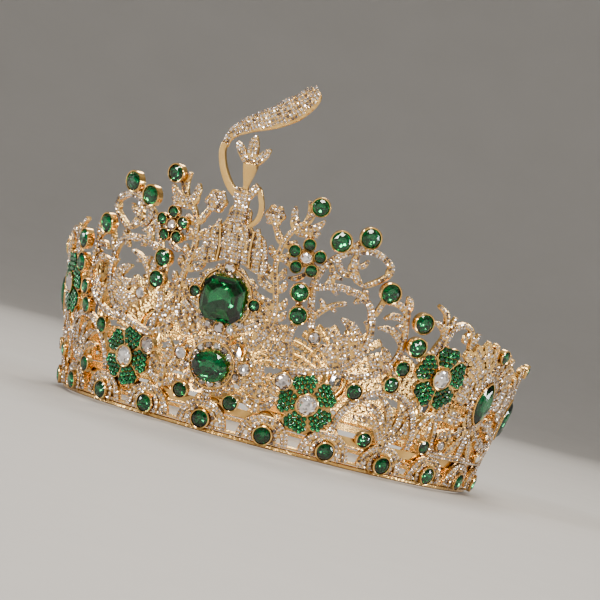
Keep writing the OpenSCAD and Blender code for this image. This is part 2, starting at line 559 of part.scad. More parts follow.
// three cut stones on each heart petal of the large flowers
module petal_stones() {
    color("#12774e") union() both_sides() for (v = flowers) for (i = [0 : 4]) {
        t = v[3] + 72 * i;
        for (u = [[v[2] - 4.6, 0, 1.1], [v[2] - 2.2, 15, 1.3], [v[2] - 2.2, -15, 1.3]])
            on_wall(v[0], v[1]) rotate([0, 0, t + u[1]]) translate([u[0], 0, 0])
                cut_stone(u[2], 8);
    }
}

top_stone_rows = concat(top_stones, [for (v = top_stones) [-v[0], v[1], v[2]]]);

base_ring();
inner_rail();
arch_band();
front_filigree();
side_filigree();
finial_figure();
cushion_stone();
oval_stone();
arch_stones();
rim_stones();
clear_stone_field();
petal_stones();
for (i = [1 : len(top_stone_rows)]) color("#0d6b45") on_wall(top_stone_rows[i - 1][0], top_stone_rows[i - 1][1])
        fine_stone(top_stone_rows[i - 1][2], 10);
for (i = [1 : len(medallion_rows)]) pointed_stone(medallion_rows[i - 1]);
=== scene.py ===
# A full round gold crown, set all over with small clear stones and with deep green cut stones.
# Places on the leaning wall are an angle from the front centre and a height, in degrees and mm.
from math import atan, atan2, ceil, cos, hypot, pi, radians, sin, sqrt
from random import Random

import bmesh
import bpy
from mathutils import Matrix, Quaternion, Vector


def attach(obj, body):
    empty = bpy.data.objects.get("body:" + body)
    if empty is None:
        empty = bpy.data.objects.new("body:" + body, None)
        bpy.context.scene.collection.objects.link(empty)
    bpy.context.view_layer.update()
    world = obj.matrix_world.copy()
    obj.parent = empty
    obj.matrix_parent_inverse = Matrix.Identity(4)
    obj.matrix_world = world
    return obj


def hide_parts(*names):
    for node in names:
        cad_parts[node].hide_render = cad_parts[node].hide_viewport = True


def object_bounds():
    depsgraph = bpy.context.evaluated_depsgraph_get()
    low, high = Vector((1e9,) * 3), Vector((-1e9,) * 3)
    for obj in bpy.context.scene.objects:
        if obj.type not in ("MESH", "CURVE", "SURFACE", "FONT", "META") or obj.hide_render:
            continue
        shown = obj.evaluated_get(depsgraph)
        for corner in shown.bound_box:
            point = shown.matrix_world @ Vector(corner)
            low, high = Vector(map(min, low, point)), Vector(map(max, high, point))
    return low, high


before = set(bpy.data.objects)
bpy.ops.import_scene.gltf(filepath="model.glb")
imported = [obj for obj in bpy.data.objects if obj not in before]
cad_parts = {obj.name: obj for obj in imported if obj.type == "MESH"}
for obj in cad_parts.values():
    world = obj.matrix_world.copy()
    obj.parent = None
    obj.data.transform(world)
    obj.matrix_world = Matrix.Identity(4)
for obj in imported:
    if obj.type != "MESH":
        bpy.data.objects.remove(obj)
cad_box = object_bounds()

MM = 0.001
# The wall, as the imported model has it: radius at the floor, how much it flares, thickness, lean
WALL_RADIUS = 75.9
WALL_FLARE = 0.2
METAL = 1.5
LEAN = atan(WALL_FLARE)
# How high the stones' seats stand over the metal
SEAT = 0.42
# The side run: the height of its foot, and the angles where its foot starts and ends
SILL = 13.0
SIDE_START = 60.9
SIDE_END = 299.2

# Small stones: how far apart in a row, and how much of that a stone takes
PAVE_PITCH = 1.17
PAVE_FILL = 0.95
# Room that a round stone and its cup take, as a part of the stone's radius
STONE_ROOM = 1.14
# The largest stone of a single row, and the width from which a bar carries two rows
PAVE_LARGE = 1.5
TWO_ROWS = 1.75
# How much wider than the solid's a set bar is, for the stones' edges
PAVE_EDGE = 0.3

# Green stones with a cup, right side: angle, height, radius
TOP_STONES = [
    (15.5, 79.2, 2.8), (21.1, 70.6, 3.2), (26.5, 74.0, 3.2), (34.0, 59.0, 3.2),
    (15.7, 51.8, 2.8), (16.6, 44.6, 2.8), (43.6, 52.6, 3.2), (44.1, 44.6, 3.1)]
SMALL_STONES = [
    (6.4, 11.6, 2.5), (39.8, 11.0, 2.5), (57.2, 13.4, 2.3), (42.9, 36.6, 2.5),
    (41.6, 30.6, 2.6), (33.5, 25.4, 2.6), (6.9, 43.8, 1.9)]
CLEAR_STONES = [
    (7.9, 23.2, 2.1), (17.1, 22.9, 2.7), (21.2, 38.8, 2.0), (62.6, 15.0, 1.9), (84.0, 13.6, 1.9)]
CENTRE_CLEAR_STONES = [(0.25, 34.2, 1.8), (0, 53.6, 1.8)]
# Large flowers: angle, height, reach of a petal, turn. Small flowers: angle, height, ring, stone, turn
FLOWERS = [(23.8, 17.4, 9.6, 38), (54.0, 36.7, 10.6, 18)]
SMALL_FLOWERS = [(15.2, 62.6, 4.3, 1.9, 18)]
# The clear stone in the middle of a flower, large and small
FLOWER_CENTRE = 3.3
SMALL_FLOWER_CENTRE = 1.9
# Stones of a petal 9.6 mm long: how far out each row lies, how far aside its stones lie, their radius
PETAL_LENGTH = 9.6
PETAL_ROWS = [
    (4.4, (-1.8, 0, 1.8)), (5.9, (-2.65, -0.9, 0.9, 2.65)), (7.35, (-3.35, -1.7, 0, 1.7, 3.35)),
    (8.65, (-2.5, -0.85, 0.85, 2.5))]
PETAL_STONE = 0.8

# The two centre stones: half width, half height, height of the middle
CUSHION = (7.0, 7.0, 43.5)
OVAL = (6.0, 5.0, 21.4)
# How far out along half a side the cushion's corners begin
CORNER_START = 1 - 0.30 * 0.42

# How the round stones of each kind sit: height over the seat, and the part of the radius added to it,
# thickness as a part of the radius, turn from one stone to the next, depth of the cup
SEATS = {
    "top": (0.55, 0.36, 1.0, 11, 2.4), "rim": (0.5, 0.0, 0.85, 17, 2.0),
    "arch": (0.6, 0.0, 0.8, 20, 2.0), "clear": (0.7, 0.0, 0.85, 23, 2.0)}
# Middle of the oval stone's frame, and the rosettes beside the figure: angle, height, radius
OVAL_FRAME = OVAL[2] + 0.6
ROSETTES = [(6.9, 73.0, 3.2), (-6.0, 73.0, 3.6)]
# Larger clear stones between the frames: angle, height, radius, right side and on the centre line
FRAME_STONES = [(2.5, 34.6, 1.5), (4.6, 36.6, 1.3), (6.2, 20.0, 1.2)]
MIDDLE_STONES = [(0, 36.9, 1.3), (0, 31.6, 1.3)]
# Rays round the centre stones: height, first turn, step, count, then how far across and up each ray
# starts and ends, and its width
RAYS = [
    (OVAL_FRAME, -90, 27, 7, (6.4, 6.6, 9.9, 10.6), 3.0),
    (CUSHION[2], -78, 30, 6, (7.6, 8.0, 11.4, 11.0), 3.2)]

# The pointed stones' half width and half height
MEDALLION_HALF = 4.6
MEDALLION_RISE = 7.2
# Behind them: half width, half height and depth of each ring of a stone's back and of its collar
BACK_RINGS = [(2.7, 5.5, -0.6), (2.7, 5.5, -0.8), (0.3, 3.3, -1.35)]
COLLAR_RINGS = [(4.75, 7.5, -0.9), (4.75, 7.5, -2.35), (4.3, 7.0, -2.4), (2.5, 5.2, -1.25), (2.3, 5.0, -0.9)]
# Medallions, right side: angle, half span, height of the pointed stone, height of the top stone
RIGHT_MEDALLIONS = [
    (72.9, 11.4, 32.3, 49.5), (97.0, 12.0, 29.0, 47.5), (121.0, 12.2, 27.2, 46.8), (149.6, 15.4, 26.0, 46.5)]
LEFT_MEDALLIONS = [(360 - a, half, z, top) for a, half, z, top in RIGHT_MEDALLIONS]
MEDALLIONS = RIGHT_MEDALLIONS + [(180, 15.2, 25.6, 46.5)] + LEFT_MEDALLIONS
# Fronds beside a medallion: base across and up in mm, tip as a part of the half span, tip up, width
FRONDS = [
    (0.6, -9.0, 0.56, -12.8, 3.6), (1.6, -8.2, 1.03, -9.8, 4.8), (3.4, -6.2, 1.04, -4.4, 5.0),
    (5.2, -3.2, 1.04, 1.2, 5.0), (5.8, 0.2, 1.04, 6.8, 4.8), (5.4, 3.0, 0.97, 12.0, 4.2),
    (4.6, 5.0, 0.84, 16.2, 3.6), (3.6, 6.6, 0.62, 20.4, 3.2), (2.0, 7.8, 0.34, 22.0, 2.8)]
# The rise to the top stone and the drop to the sill that those tips are written for
FROND_RISE = 20.9
FROND_DROP = 12.6
# Longer fronds between the large flower and the first medallion, right side
FLOWER_FRONDS = [
    (69.0, 35.0, 59.2, 46.8, 4.2), (69.6, 37.0, 61.6, 49.2, 4.4), (70.3, 38.6, 64.8, 51.4, 4.0),
    (71.2, 39.8, 68.2, 52.4, 3.4)]

# Scrolls and stems, right side: start width, end width, points of angle and height
STROKES = [
    (2.4, 1.7, [(17, 26), (20.2, 27.1), (25.6, 29.2), (30.7, 33.3), (33.1, 40.4), (32.6, 47.9),
                (30.4, 53.8), (25.3, 56.2), (21.1, 55.4), (18.5, 53.8)]),
    (2.2, 1.6, [(20.4, 40), (18.6, 49.2), (18.1, 55.8), (19.8, 62.5), (23.3, 67.5), (28.1, 69.7),
                (32.0, 67.8), (33.0, 64.6), (31.2, 61.4), (28.4, 58.4)]),
    (1.9, 1.2, [(19.6, 44.5), (21.3, 47.6), (23.3, 50.2), (25.9, 51.7)]),
    (2.0, 1.6, [(25.7, 29.3), (33.2, 30), (38.6, 33.8), (41.2, 39.5), (41.2, 46), (40.2, 52), (39.4, 56)]),
    (1.9, 1.9, [(31.3, 10.9), (32.2, 17), (35.0, 22.6), (39, 26.6), (43.4, 27.6), (47.6, 26.2),
                (50.8, 22), (52.6, 16.4), (52.9, 10.9)]),
    (1.7, 1.5, [(52.9, 10.9), (53.8, 19), (55.6, 23.2), (57.8, 23.4), (59.6, 18), (60.2, 10.9)]),
    (1.8, 1.5, [(8.6, 31.5), (10.9, 36.7), (11.5, 43), (10.6, 50), (9.3, 58), (10.2, 67), (12.7, 72.6)]),
    (1.7, 1.7, [(12.4, 10.5), (12.4, 15), (12.2, 20)]),
    (2.4, 2.0, [(17.2, 24), (17, 30.8), (15.8, 36.7), (16.4, 43), (15.9, 50)]),
    (2.0, 1.4, [(49.4, 40), (49.8, 45), (50.8, 49.6), (50.4, 53.4), (49.2, 57.2), (46.6, 59.2)]),
    (2.0, 1.5, [(52.2, 44), (51.9, 49.6), (52.6, 52.8), (54, 54.8), (56, 55.5), (57.9, 54.4), (59.1, 51.8),
                (59.5, 48.4)]),
    (2.2, 1.8, [(0, 33.0), (4, 34.6), (7, 36.8), (9.6, 39.8)]),
    (1.6, 1.4, [(13.2, 73), (15.5, 79)]),
    (2.0, 2.0, [(6.4, 11.2), (5.4, 17.4)]),
    (1.6, 1.6, [(57.2, 12), (57.0, 23.3)]),
    (1.4, 1.4, [(33.4, 27.0), (33.2, 30.4)]),
    (1.4, 1.4, [(41.4, 31.0), (40.0, 36.4)]),
    (1.6, 1.6, [(6.6, 72.3), (8.2, 67.6), (9.8, 64.8)]),
    (2.0, 1.6, [(23.3, 67.3), (24.6, 70.6), (26.5, 73.6)]),
    (1.6, 1.6, [(32.8, 50.5), (33.6, 55), (34.2, 58.6)])]
# The stem that carries pairs of leaves: its row above, how many pairs, where along it the first and the
# last stand, degrees between leaf and stem, length and width of a leaf
SPRIG_STROKE = 6
SPRIG_PAIRS = 9
SPRIG_FIRST = 0.08
SPRIG_LAST = 0.95
SPRIG_TURN = 48
SPRIG_LENGTH = 4.4
SPRIG_WIDTH = 2.3

# Single leaves, right side: base angle and height, tip angle and height, width
LEAVES = [
    (31.7, 35.5, 25.9, 46.6, 3.5), (29.6, 31.8, 23.0, 42.2, 3.3), (27.2, 30.0, 22.4, 36.6, 3.1),
    (21.4, 47.6, 20.2, 50.8, 1.6), (23.0, 50.4, 24.2, 48.6, 1.4), (20.4, 55.4, 20.8, 59.0, 1.6),
    (20.6, 62.6, 23.6, 58.8, 1.8), (21.5, 65.2, 25.6, 60.4, 2.0), (25.2, 67.6, 28.3, 58.4, 2.8),
    (41.2, 43.0, 34.5, 46.9, 2.2), (38.9, 33.0, 37.0, 41.2, 2.9), (36.4, 31.2, 34.3, 37.4, 2.6),
    (40.4, 50.5, 35.1, 50.3, 2.0), (39.8, 53.2, 35.2, 55.4, 2.0), (39.4, 54.0, 38.6, 59.0, 2.6),
    (44.6, 10.8, 36.4, 17.9, 2.4), (44.8, 11.6, 36.2, 22.8, 2.4), (45.0, 12.0, 40.4, 25.8, 2.6),
    (45.3, 12.0, 45.8, 26.2, 2.4), (45.8, 11.2, 49.6, 21.6, 2.4), (45.4, 10.4, 45.4, 13.0, 3.6),
    (50.9, 50.0, 46.8, 53.4, 1.9), (50.4, 53.6, 51.9, 57.2, 1.7), (58.2, 53.6, 57.1, 49.8, 1.8),
    (59.2, 50.6, 60.6, 54.2, 1.7), (48.2, 25.6, 51.0, 30.0, 3.0), (58.0, 24.0, 58.6, 31.0, 3.4),
    (12.4, 12.0, 8.7, 15.8, 2.3), (12.4, 12.4, 16.2, 16.4, 2.3), (12.3, 16.0, 9.0, 20.0, 2.3),
    (12.3, 16.2, 15.9, 21.4, 2.4), (12.2, 19.0, 11.8, 26.0, 2.6), (11.9, 21.5, 7.9, 28.2, 2.2),
    (16.2, 36.0, 12.4, 40.2, 2.0), (16.6, 32.5, 13.0, 36.6, 2.0), (17.0, 28.0, 12.2, 31.6, 2.2),
    (10.0, 33.8, 6.6, 29.6, 2.4), (12.4, 71.0, 10.6, 77.3, 2.2), (12.8, 71.6, 12.9, 80.0, 2.4),
    (12.6, 71.4, 16.9, 75.4, 2.2), (12.2, 70.6, 16.6, 71.2, 2.2), (6.4, 18.6, 10.2, 22.0, 2.2),
    (15.8, 57.6, 12.4, 55.0, 1.6), (15.2, 60.0, 10.0, 60.6, 1.6), (17.4, 64.0, 20.4, 63.6, 1.6),
    (55.0, 42.0, 60.8, 44.0, 3.0), (31.4, 34.2, 27.2, 41.4, 5.0), (29.0, 31.4, 25.0, 37.6, 4.6),
    (38.8, 33.2, 36.6, 38.2, 4.4)]
# Short barbs on the scrolls, as rows of leaves
BARBS = [
    (21.6, 56.2, 20.8, 59.3, 1.6), (22.5, 56.3, 23.6, 53.9, 1.6), (29.4, 54.6, 25.5, 54.8, 2.0),
    (29.7, 54.2, 27.6, 52.4, 1.7), (29.4, 54.8, 28.5, 57.5, 1.7), (24.7, 64.4, 25.5, 61.5, 1.8),
    (25.8, 64.0, 27.7, 66.8, 1.6), (32.8, 66.4, 33.3, 63.0, 1.6), (30.8, 43.0, 27.7, 43.9, 1.6),
    (32.6, 45.0, 31.0, 47.6, 1.6), (19.0, 59.6, 16.6, 61.6, 1.6), (35.4, 22.8, 33.0, 25.2, 1.6),
    (50.0, 23.0, 48.0, 20.6, 1.6), (41.0, 47.4, 38.4, 49.0, 1.6)]
# Leaves of the close net round the cushion stone
NET_LEAVES = [
    (5.2, 41.0, 9.8, 43.6, 2.4), (7.6, 35.8, 5.0, 40.6, 2.4), (5.0, 49.4, 8.6, 46.8, 2.2),
    (6.4, 47.2, 10.8, 46.6, 2.2), (2.6, 53.4, 6.8, 49.4, 2.4), (6.6, 53.8, 9.4, 50.4, 2.2),
    (1.8, 37.0, 4.4, 32.8, 2.2), (7.0, 31.4, 9.6, 36.8, 2.2), (4.6, 31.4, 7.4, 34.8, 2.0),
    (8.0, 43.8, 10.6, 41.2, 2.0), (12.0, 30.6, 15.6, 34.4, 2.0), (9.6, 55.2, 7.2, 57.8, 2.0)]
# The angle from which all leaves belong to the scrolls
SCROLLS_FROM = 19
# How a leaf's width grows and shrinks from base to tip
LEAF_SHAPE = [
    (0, 0.55), (0.12, 0.85), (0.28, 1.0), (0.45, 1.05), (0.62, 1.0), (0.78, 0.80), (0.91, 0.50), (1, 0.18)]
LEAFLET_SHAPE = [(0, 0.5), (0.3, 0.95), (0.6, 1.0), (0.85, 0.65), (1, 0.2)]
# Leaflets of the side fronds: how far apart up the stem, degrees between them and it, width, how far
# forward they lie, how far from the tip their stone sits, and its radius
LEAFLET_PITCH = 2.7
LEAFLET_TURN = 46
LEAFLET_WIDTH = 2.2
LEAFLET_FRONT = 0.25
STONE_INSET = 0.9
LEAFLET_STONE = 0.72
# How long the leaflets are up the stem, as a part of the frond's width
LEAFLET_REACH = [(0, 0.50), (0.4, 0.62), (0.8, 0.52), (1, 0.36)]

# Arches: how many in front and behind, and their angles
FRONT_ARCHES = 11
FRONT_PITCH = 15.652
BACK_ARCHES = 11
BACK_PITCH = (360 - FRONT_ARCHES * FRONT_PITCH) / BACK_ARCHES
ARCH_STONE = 2.9
ARCH_STONE_HEIGHT = 4.2
# Points of an arch, and of its right foot and tie: mm across from its middle and up from the floor
ARCH = [
    (-7.6, 1.9), (-7.2, 4.0), (-5.9, 6.8), (-3.2, 8.8), (0, 9.15), (3.2, 8.8), (5.9, 6.8), (7.2, 4.0),
    (7.6, 1.9)]
ARCH_FOOT = [(7.9, 2.3), (6.0, 2.2), (3.6, 2.1)]
ARCH_TIE = [(6.6, 4.7), (5.4, 5.0), (4.2, 4.8)]
# The inner arch: half width, half height, count of points, first and last angle
INNER_ARCH = (4.15, 3.75, 22, -42, 222)
# Height of the low rim under the arches
RIM_HEIGHT = 2.1

# The figure. Lobes of the skirt: base and tip as angle and height, width, front
LOBES = [
    (0.6, 55.6, 0.1, 69.6, 5.6, 2.4), (2.9, 55.9, 1.6, 68.2, 3.2, 2.25), (-1.7, 55.9, -1.4, 68.2, 3.2, 2.25),
    (5.5, 54.6, 4.3, 67.8, 3.2, 2.0), (-4.3, 54.6, -4.1, 67.8, 3.2, 2.0), (7.2, 54.0, 6.0, 65.0, 2.2, 1.8),
    (-6.1, 54.0, -5.8, 65.0, 2.2, 1.8)]
# Outline of the bell behind them, and the crest's petals as rows of leaves
BELL = [
    (-6.5, 53.6), (-6.4, 60.0), (-5.4, 65.6), (-3.4, 66.8), (-2.5, 69.6), (-2.0, 73.0), (2.0, 73.0),
    (2.5, 69.6), (3.4, 66.8), (5.6, 65.6), (6.8, 60.0), (7.5, 53.6), (5.0, 54.2), (2.8, 55.6),
    (0.4, 55.9), (-1.8, 55.6), (-3.9, 54.2)]
CREST = [(0.5, 86.4, 3.5, 92.7, 2.7), (-0.2, 86.4, -3.3, 92.9, 2.7), (0.15, 86.6, 0.1, 96.0, 3.4)]

# Edges sharper than this many degrees stay sharp on metal
SHARP = 42

# Finishes: gold's tones, the last one painted shade in its crevices, and how far that shade reaches; the
# casting's pits; size and tilt of the cut facets
DEEP_GOLD = (0.78, 0.42, 0.10)
BRIGHT_GOLD = (1.0, 0.70, 0.27)
PAINTED_CREVICE_SHADE = (0.16, 0.058, 0.010)
SHADE_REACH = 0.0024
PITS_PER_METRE = 850
SMALL_FACET = 0.00042
LARGE_FACET = 0.0009
FACET_TILT = 1.25

# The camera: as far and as long a lens as the photograph's, at its side angle, low over the floor
CAMERA_AZIMUTH = 16.11
CAMERA_DISTANCE = 0.666
CAMERA_HEIGHT = 0.030
CAMERA_LENS = 109.2
CAMERA_ROLL = 14.87
AIM = (0.0, 0.0, 0.052)

# Round lamps, all turned to one point: name, degrees round from the front, degrees up, distance, size,
# power and colour
WARM = (1.0, 0.92, 0.80)
WHITE = (1.0, 0.98, 0.95)
COOL = (0.88, 0.94, 1.0)
LAMPS = [
    ("high_front", 12, 58, 2.2, 0.60, 36, WARM), ("left_front", -34, 28, 2.2, 0.38, 22, WHITE),
    ("right_front", 66, 26, 2.2, 0.38, 22, WARM), ("far_left", -72, 9, 2.2, 0.50, 19, COOL),
    ("far_right", 104, 9, 2.2, 0.50, 19, COOL), ("high_back", 192, 50, 2.2, 0.85, 26, WARM),
    ("overhead", 0, 90, 3.4, 3.0, 10, WHITE), ("low_front", 34, 11, 2.2, 0.28, 7, WHITE),
    ("low_left", -8, 9, 2.2, 0.28, 7, WHITE)]
LAMPS_FACE = Vector((0, 0, 0.05))
SKY = (0.42, 0.45, 0.52, 1)
SKY_STRENGTH = 0.05

# The floor: how far under the crown it lies, how far it runs out flat, and how it sweeps up
FLOOR_GAP = 0.0006
FLOOR_REACH = 2.4
FLOOR_SWEEP = 2.0


def wall(z):
    return WALL_RADIUS + WALL_FLARE * z


def span(z):
    """Millimetres round the wall for one degree."""
    return wall(z) * pi / 180


def axes(a):
    """Across, up and outward directions of the wall at an angle."""
    turn = radians(a)
    across = Vector((cos(turn), sin(turn), 0))
    outward = Vector((sin(turn) * cos(LEAN), -cos(turn) * cos(LEAN), -sin(LEAN)))
    return across, outward.cross(across), outward


def spot(a, z, depth=0.0):
    """A place on the wall, so far in front of the metal's face, in metres."""
    turn = radians(a)
    face = Vector((wall(z) * sin(turn), -wall(z) * cos(turn), z))
    return (face + axes(a)[2] * depth) * MM


def off(a, z, across, up):
    """The place so many millimetres across and up from another."""
    return (a + across / span(z), z + up)


def turned(x, y, t):
    """A step across and up, turned by an angle."""
    return (x * cos(t) - y * sin(t), x * sin(t) + y * cos(t))


def around(count):
    """Even angles of one whole turn."""
    return [2 * pi * i / count for i in range(count)]


def swapped(points, side):
    return [(side * a, *rest) for a, *rest in points]


def smooth(points, steps):
    """A smooth curve through the points."""
    path = []
    last = len(points) - 1
    for i in range(last):
        near = [points[max(i - 1, 0)], points[i], points[i + 1], points[min(i + 2, last)]]
        for j in range(steps):
            t = j / steps
            path.append(tuple(
                0.5 * (2 * q + (r - p) * t + (2 * p - 5 * q + 4 * r - s) * t * t
                       + (3 * q - p - 3 * r + s) * t ** 3) for p, q, r, s in zip(*near)))
    path.append(tuple(points[last]))
    return path


def closed(points, steps):
    """A smooth curve round a closed outline."""
    count = len(points)
    turns = [points[i % count] for i in range(-2, count + 3)]
    return smooth(turns, steps)[2 * steps:(count + 2) * steps]


def ease(table, t):
    """Reads a short table of (place, value) between its rows."""
    for (t0, v0), (t1, v1) in zip(table, table[1:]):
        if t <= t1:
            return v0 + (v1 - v0) * (t - t0) / (t1 - t0)
    return table[-1][1]


def eased(path, table):
    """A width for each point of a path, read from a short table."""
    return [ease(table, i / (len(path) - 1)) for i in range(len(path))]


def pointed(half, rise, steps):
    """The corners of a pointed oval, across and up."""
    radius = (rise * rise + half * half) / (2 * half)
    corners = []
    for side in (1, -1):
        for i in range(2 * steps):
            y = side * rise * (1 - i / steps)
            corners.append((side * (sqrt(max(radius * radius - y * y, 0)) - radius + half), y))
    return corners


def lens(a, z, half, rise, steps):
    """A pointed oval on the wall, closed."""
    return [off(a, z, x, y) for x, y in pointed(half, rise, steps)]


def loop(a, z, rx, ry, count, start=0.0, end=360.0):
    """A round or oval path; closed if it goes all the way."""
    whole = end - start >= 360
    turns = [radians(start + (end - start) * i / (count if whole else count - 1)) for i in range(count)]
    return [off(a, z, rx * cos(t), ry * sin(t)) for t in turns]


class Value:
    """A number or vector on its way through a tree. Arithmetic on it adds Math nodes."""

    def __init__(self, graph, socket):
        self.graph = graph
        self.socket = socket

    def math(self, operation, *others):
        inputs = dict(enumerate((self, *others)))
        return self.graph.get("ShaderNodeMath", {"operation": operation}, inputs)

    def __add__(self, other):
        return self.math("ADD", other)

    def __radd__(self, other):
        return self.math("ADD", other)

    def __sub__(self, other):
        return self.math("SUBTRACT", other)

    def __rsub__(self, other):
        return self.graph.get("ShaderNodeMath", {"operation": "SUBTRACT"}, {0: other, 1: self})

    def __mul__(self, other):
        return self.math("MULTIPLY", other)

    def __rmul__(self, other):
        return self.math("MULTIPLY", other)

    def shaped(self, power):
        """Its size raised to a power, with its sign kept."""
        return self.math("ABSOLUTE").math("POWER", power) * self.math("SIGN")

    def vector(self, operation, *others, out="Vector"):
        inputs = dict(enumerate((self, *others)))
        return self.graph.get("ShaderNodeVectorMath", {"operation": operation}, inputs, out)

    def scaled(self, factor):
        inputs = {0: self, "Scale": factor}
        return self.graph.get("ShaderNodeVectorMath", {"operation": "SCALE"}, inputs, "Vector")


class Graph:
    """Adds nodes to a material or to a Geometry Nodes tree."""

    def __init__(self, tree):
        self.tree = tree

    def node(self, kind, settings=None, inputs=None):
        made = self.tree.nodes.new(kind)
        for name, value in (settings or {}).items():
            if name == "stops":
                self.set_stops(made.color_ramp, value)
            else:
                setattr(made, name, value)
        for key, value in (inputs or {}).items():
            self.feed(made.inputs[key], value)
        return made

    def get(self, kind, settings=None, inputs=None, out=0):
        """A node's output as a value."""
        return Value(self, self.node(kind, settings, inputs).outputs[out])

    def feed(self, socket, value):
        if isinstance(value, Value):
            self.tree.links.new(value.socket, socket)
        else:
            socket.default_value = value

    def set_stops(self, ramp, stops):
        while len(ramp.elements) < len(stops):
            ramp.elements.new(0.5)
        for element, (place, colour) in zip(ramp.elements, stops):
            element.position = place
            element.color = (*colour, 1)


# Geometry Nodes trees

class Tree(Graph):
    """A Geometry Nodes tree with named inputs."""

    def __init__(self, name, inputs):
        super().__init__(bpy.data.node_groups.new(name, "GeometryNodeTree"))
        face = self.tree.interface
        face.new_socket("Geometry", in_out="INPUT", socket_type="NodeSocketGeometry")
        for label, (kind, value) in inputs.items():
            socket = face.new_socket(label, in_out="INPUT", socket_type="NodeSocket" + kind)
            if value is not None:
                socket.default_value = value
        face.new_socket("Geometry", in_out="OUTPUT", socket_type="NodeSocketGeometry")
        self.entry = self.tree.nodes.new("NodeGroupInput")

    def input(self, name):
        return Value(self, self.entry.outputs[name])

    def attribute(self, name, kind="FLOAT"):
        return self.get("GeometryNodeInputNamedAttribute", {"data_type": kind}, {"Name": name}, "Attribute")

    def stored(self, geometry, name, value, domain="POINT"):
        """The geometry with a number kept on it."""
        return self.get("GeometryNodeStoreNamedAttribute", {"data_type": "FLOAT", "domain": domain}, {
            "Geometry": geometry, "Name": name, "Value": value})

    def finish(self, geometry, smooth_faces, backed=False):
        """Realizes and shades it, gives it the material, and the foil where there is one."""
        whole = self.get("GeometryNodeRealizeInstances", {}, {"Geometry": geometry})
        shaded = self.get("GeometryNodeSetShadeSmooth", {}, {
            "Geometry": whole, "Shade Smooth": smooth_faces})
        done = self.get("GeometryNodeSetMaterial", {}, {
            "Geometry": shaded, "Material": self.input("Material")})
        if backed:
            done = self.get("GeometryNodeSetMaterial", {}, {
                "Geometry": done, "Selection": self.attribute("foil", "BOOLEAN"),
                "Material": self.input("Foil")})
        self.node("NodeGroupOutput", {}, {"Geometry": done})
        return self.tree


def bar_tree():
    """Sweeps an eased section along each rail, as wide and as deep as the rail's own values say."""
    tree = Tree("cast_bars", {
        "Sides": ("Int", 10), "Squareness": ("Float", 0.42), "Material": ("Material", None)})
    profile = tree.get("GeometryNodeCurvePrimitiveCircle", {"mode": "RADIUS"}, {
        "Resolution": tree.input("Sides"), "Radius": 1.0}, "Curve")
    place = tree.node("ShaderNodeSeparateXYZ", {}, {0: tree.get("GeometryNodeInputPosition")})
    for name, axis in (("across", 0), ("deep", 1)):
        eased = Value(tree, place.outputs[axis]).shaped(tree.input("Squareness"))
        profile = tree.stored(profile, name, eased)
    rails = tree.get("GeometryNodeMeshToCurve", {}, {"Mesh": tree.input("Geometry")}, "Curve")
    swept = tree.get("GeometryNodeCurveToMesh", {}, {
        "Curve": rails, "Profile Curve": profile, "Fill Caps": True})
    reach = tree.attribute("across") * tree.attribute("half")
    sideways = tree.attribute("side", "FLOAT_VECTOR").scaled(reach)
    back, front = tree.attribute("back"), tree.attribute("front")
    depth = back + (front - back) * (tree.attribute("deep") * 0.5 + 0.5)
    outward = tree.attribute("outward", "FLOAT_VECTOR").scaled(depth)
    where = tree.attribute("centre", "FLOAT_VECTOR").vector("ADD", sideways).vector("ADD", outward)
    shaped = tree.get("GeometryNodeSetPosition", {}, {"Geometry": swept, "Position": where})
    return tree.finish(shaped, True)


def pave_tree():
    """A small cut stone at each point: straight girdle, eight crown facets and a table."""
    tree = Tree("small_stones", {
        "Facets": ("Int", 8), "Table": ("Float", 0.54), "Crown": ("Float", 0.38), "Seed": ("Int", 4),
        "Material": ("Material", None)})
    stone = tree.get("GeometryNodeMeshCone", {"fill_type": "NGON"}, {
        "Vertices": tree.input("Facets"), "Radius Top": tree.input("Table"), "Radius Bottom": 1.0,
        "Depth": tree.input("Crown")})
    return scatter(tree, stone, False)


def shape_tree(name, smooth_faces, backed=False):
    """A given shape at each point."""
    tree = Tree(name, {
        "Shape": ("Object", None), "Seed": ("Int", 7), "Material": ("Material", None),
        "Foil": ("Material", None)})
    shape = tree.get("GeometryNodeObjectInfo", {"transform_space": "ORIGINAL"}, {
        "Object": tree.input("Shape")}, "Geometry")
    return scatter(tree, shape, smooth_faces, backed)


def scatter(tree, shape, smooth_faces, backed=False):
    """Puts the shape at each point, turned and sized, with a random number kept for its material: painted
    glints and shade on clear stones, random tone on foils.
    """
    placed = tree.get("GeometryNodeInstanceOnPoints", {}, {
        "Points": tree.input("Geometry"), "Instance": shape,
        "Rotation": tree.attribute("turn", "QUATERNION"), "Scale": tree.attribute("size", "FLOAT_VECTOR")})
    chance = tree.get("FunctionNodeRandomValue", {"data_type": "FLOAT"}, {"Seed": tree.input("Seed")}, 1)
    return tree.finish(tree.stored(placed, "tint", chance, "INSTANCE"), smooth_faces, backed)


def added(name, data):
    """A new object in the scene."""
    made = bpy.data.objects.new(name, data)
    bpy.context.scene.collection.objects.link(made)
    return made


def grown(name, holder, tree, **inputs):
    """Runs a tree on a holder mesh and keeps the result as a plain piece."""
    source = added(name, holder)
    modifier = source.modifiers.new(name, "NODES")
    modifier.node_group = tree
    for item in tree.interface.items_tree:
        if item.in_out == "INPUT" and item.name in inputs:
            modifier[item.identifier] = inputs[item.name]
    depsgraph = bpy.context.evaluated_depsgraph_get()
    mesh = bpy.data.meshes.new_from_object(source.evaluated_get(depsgraph))
    bpy.data.objects.remove(source)
    return mesh


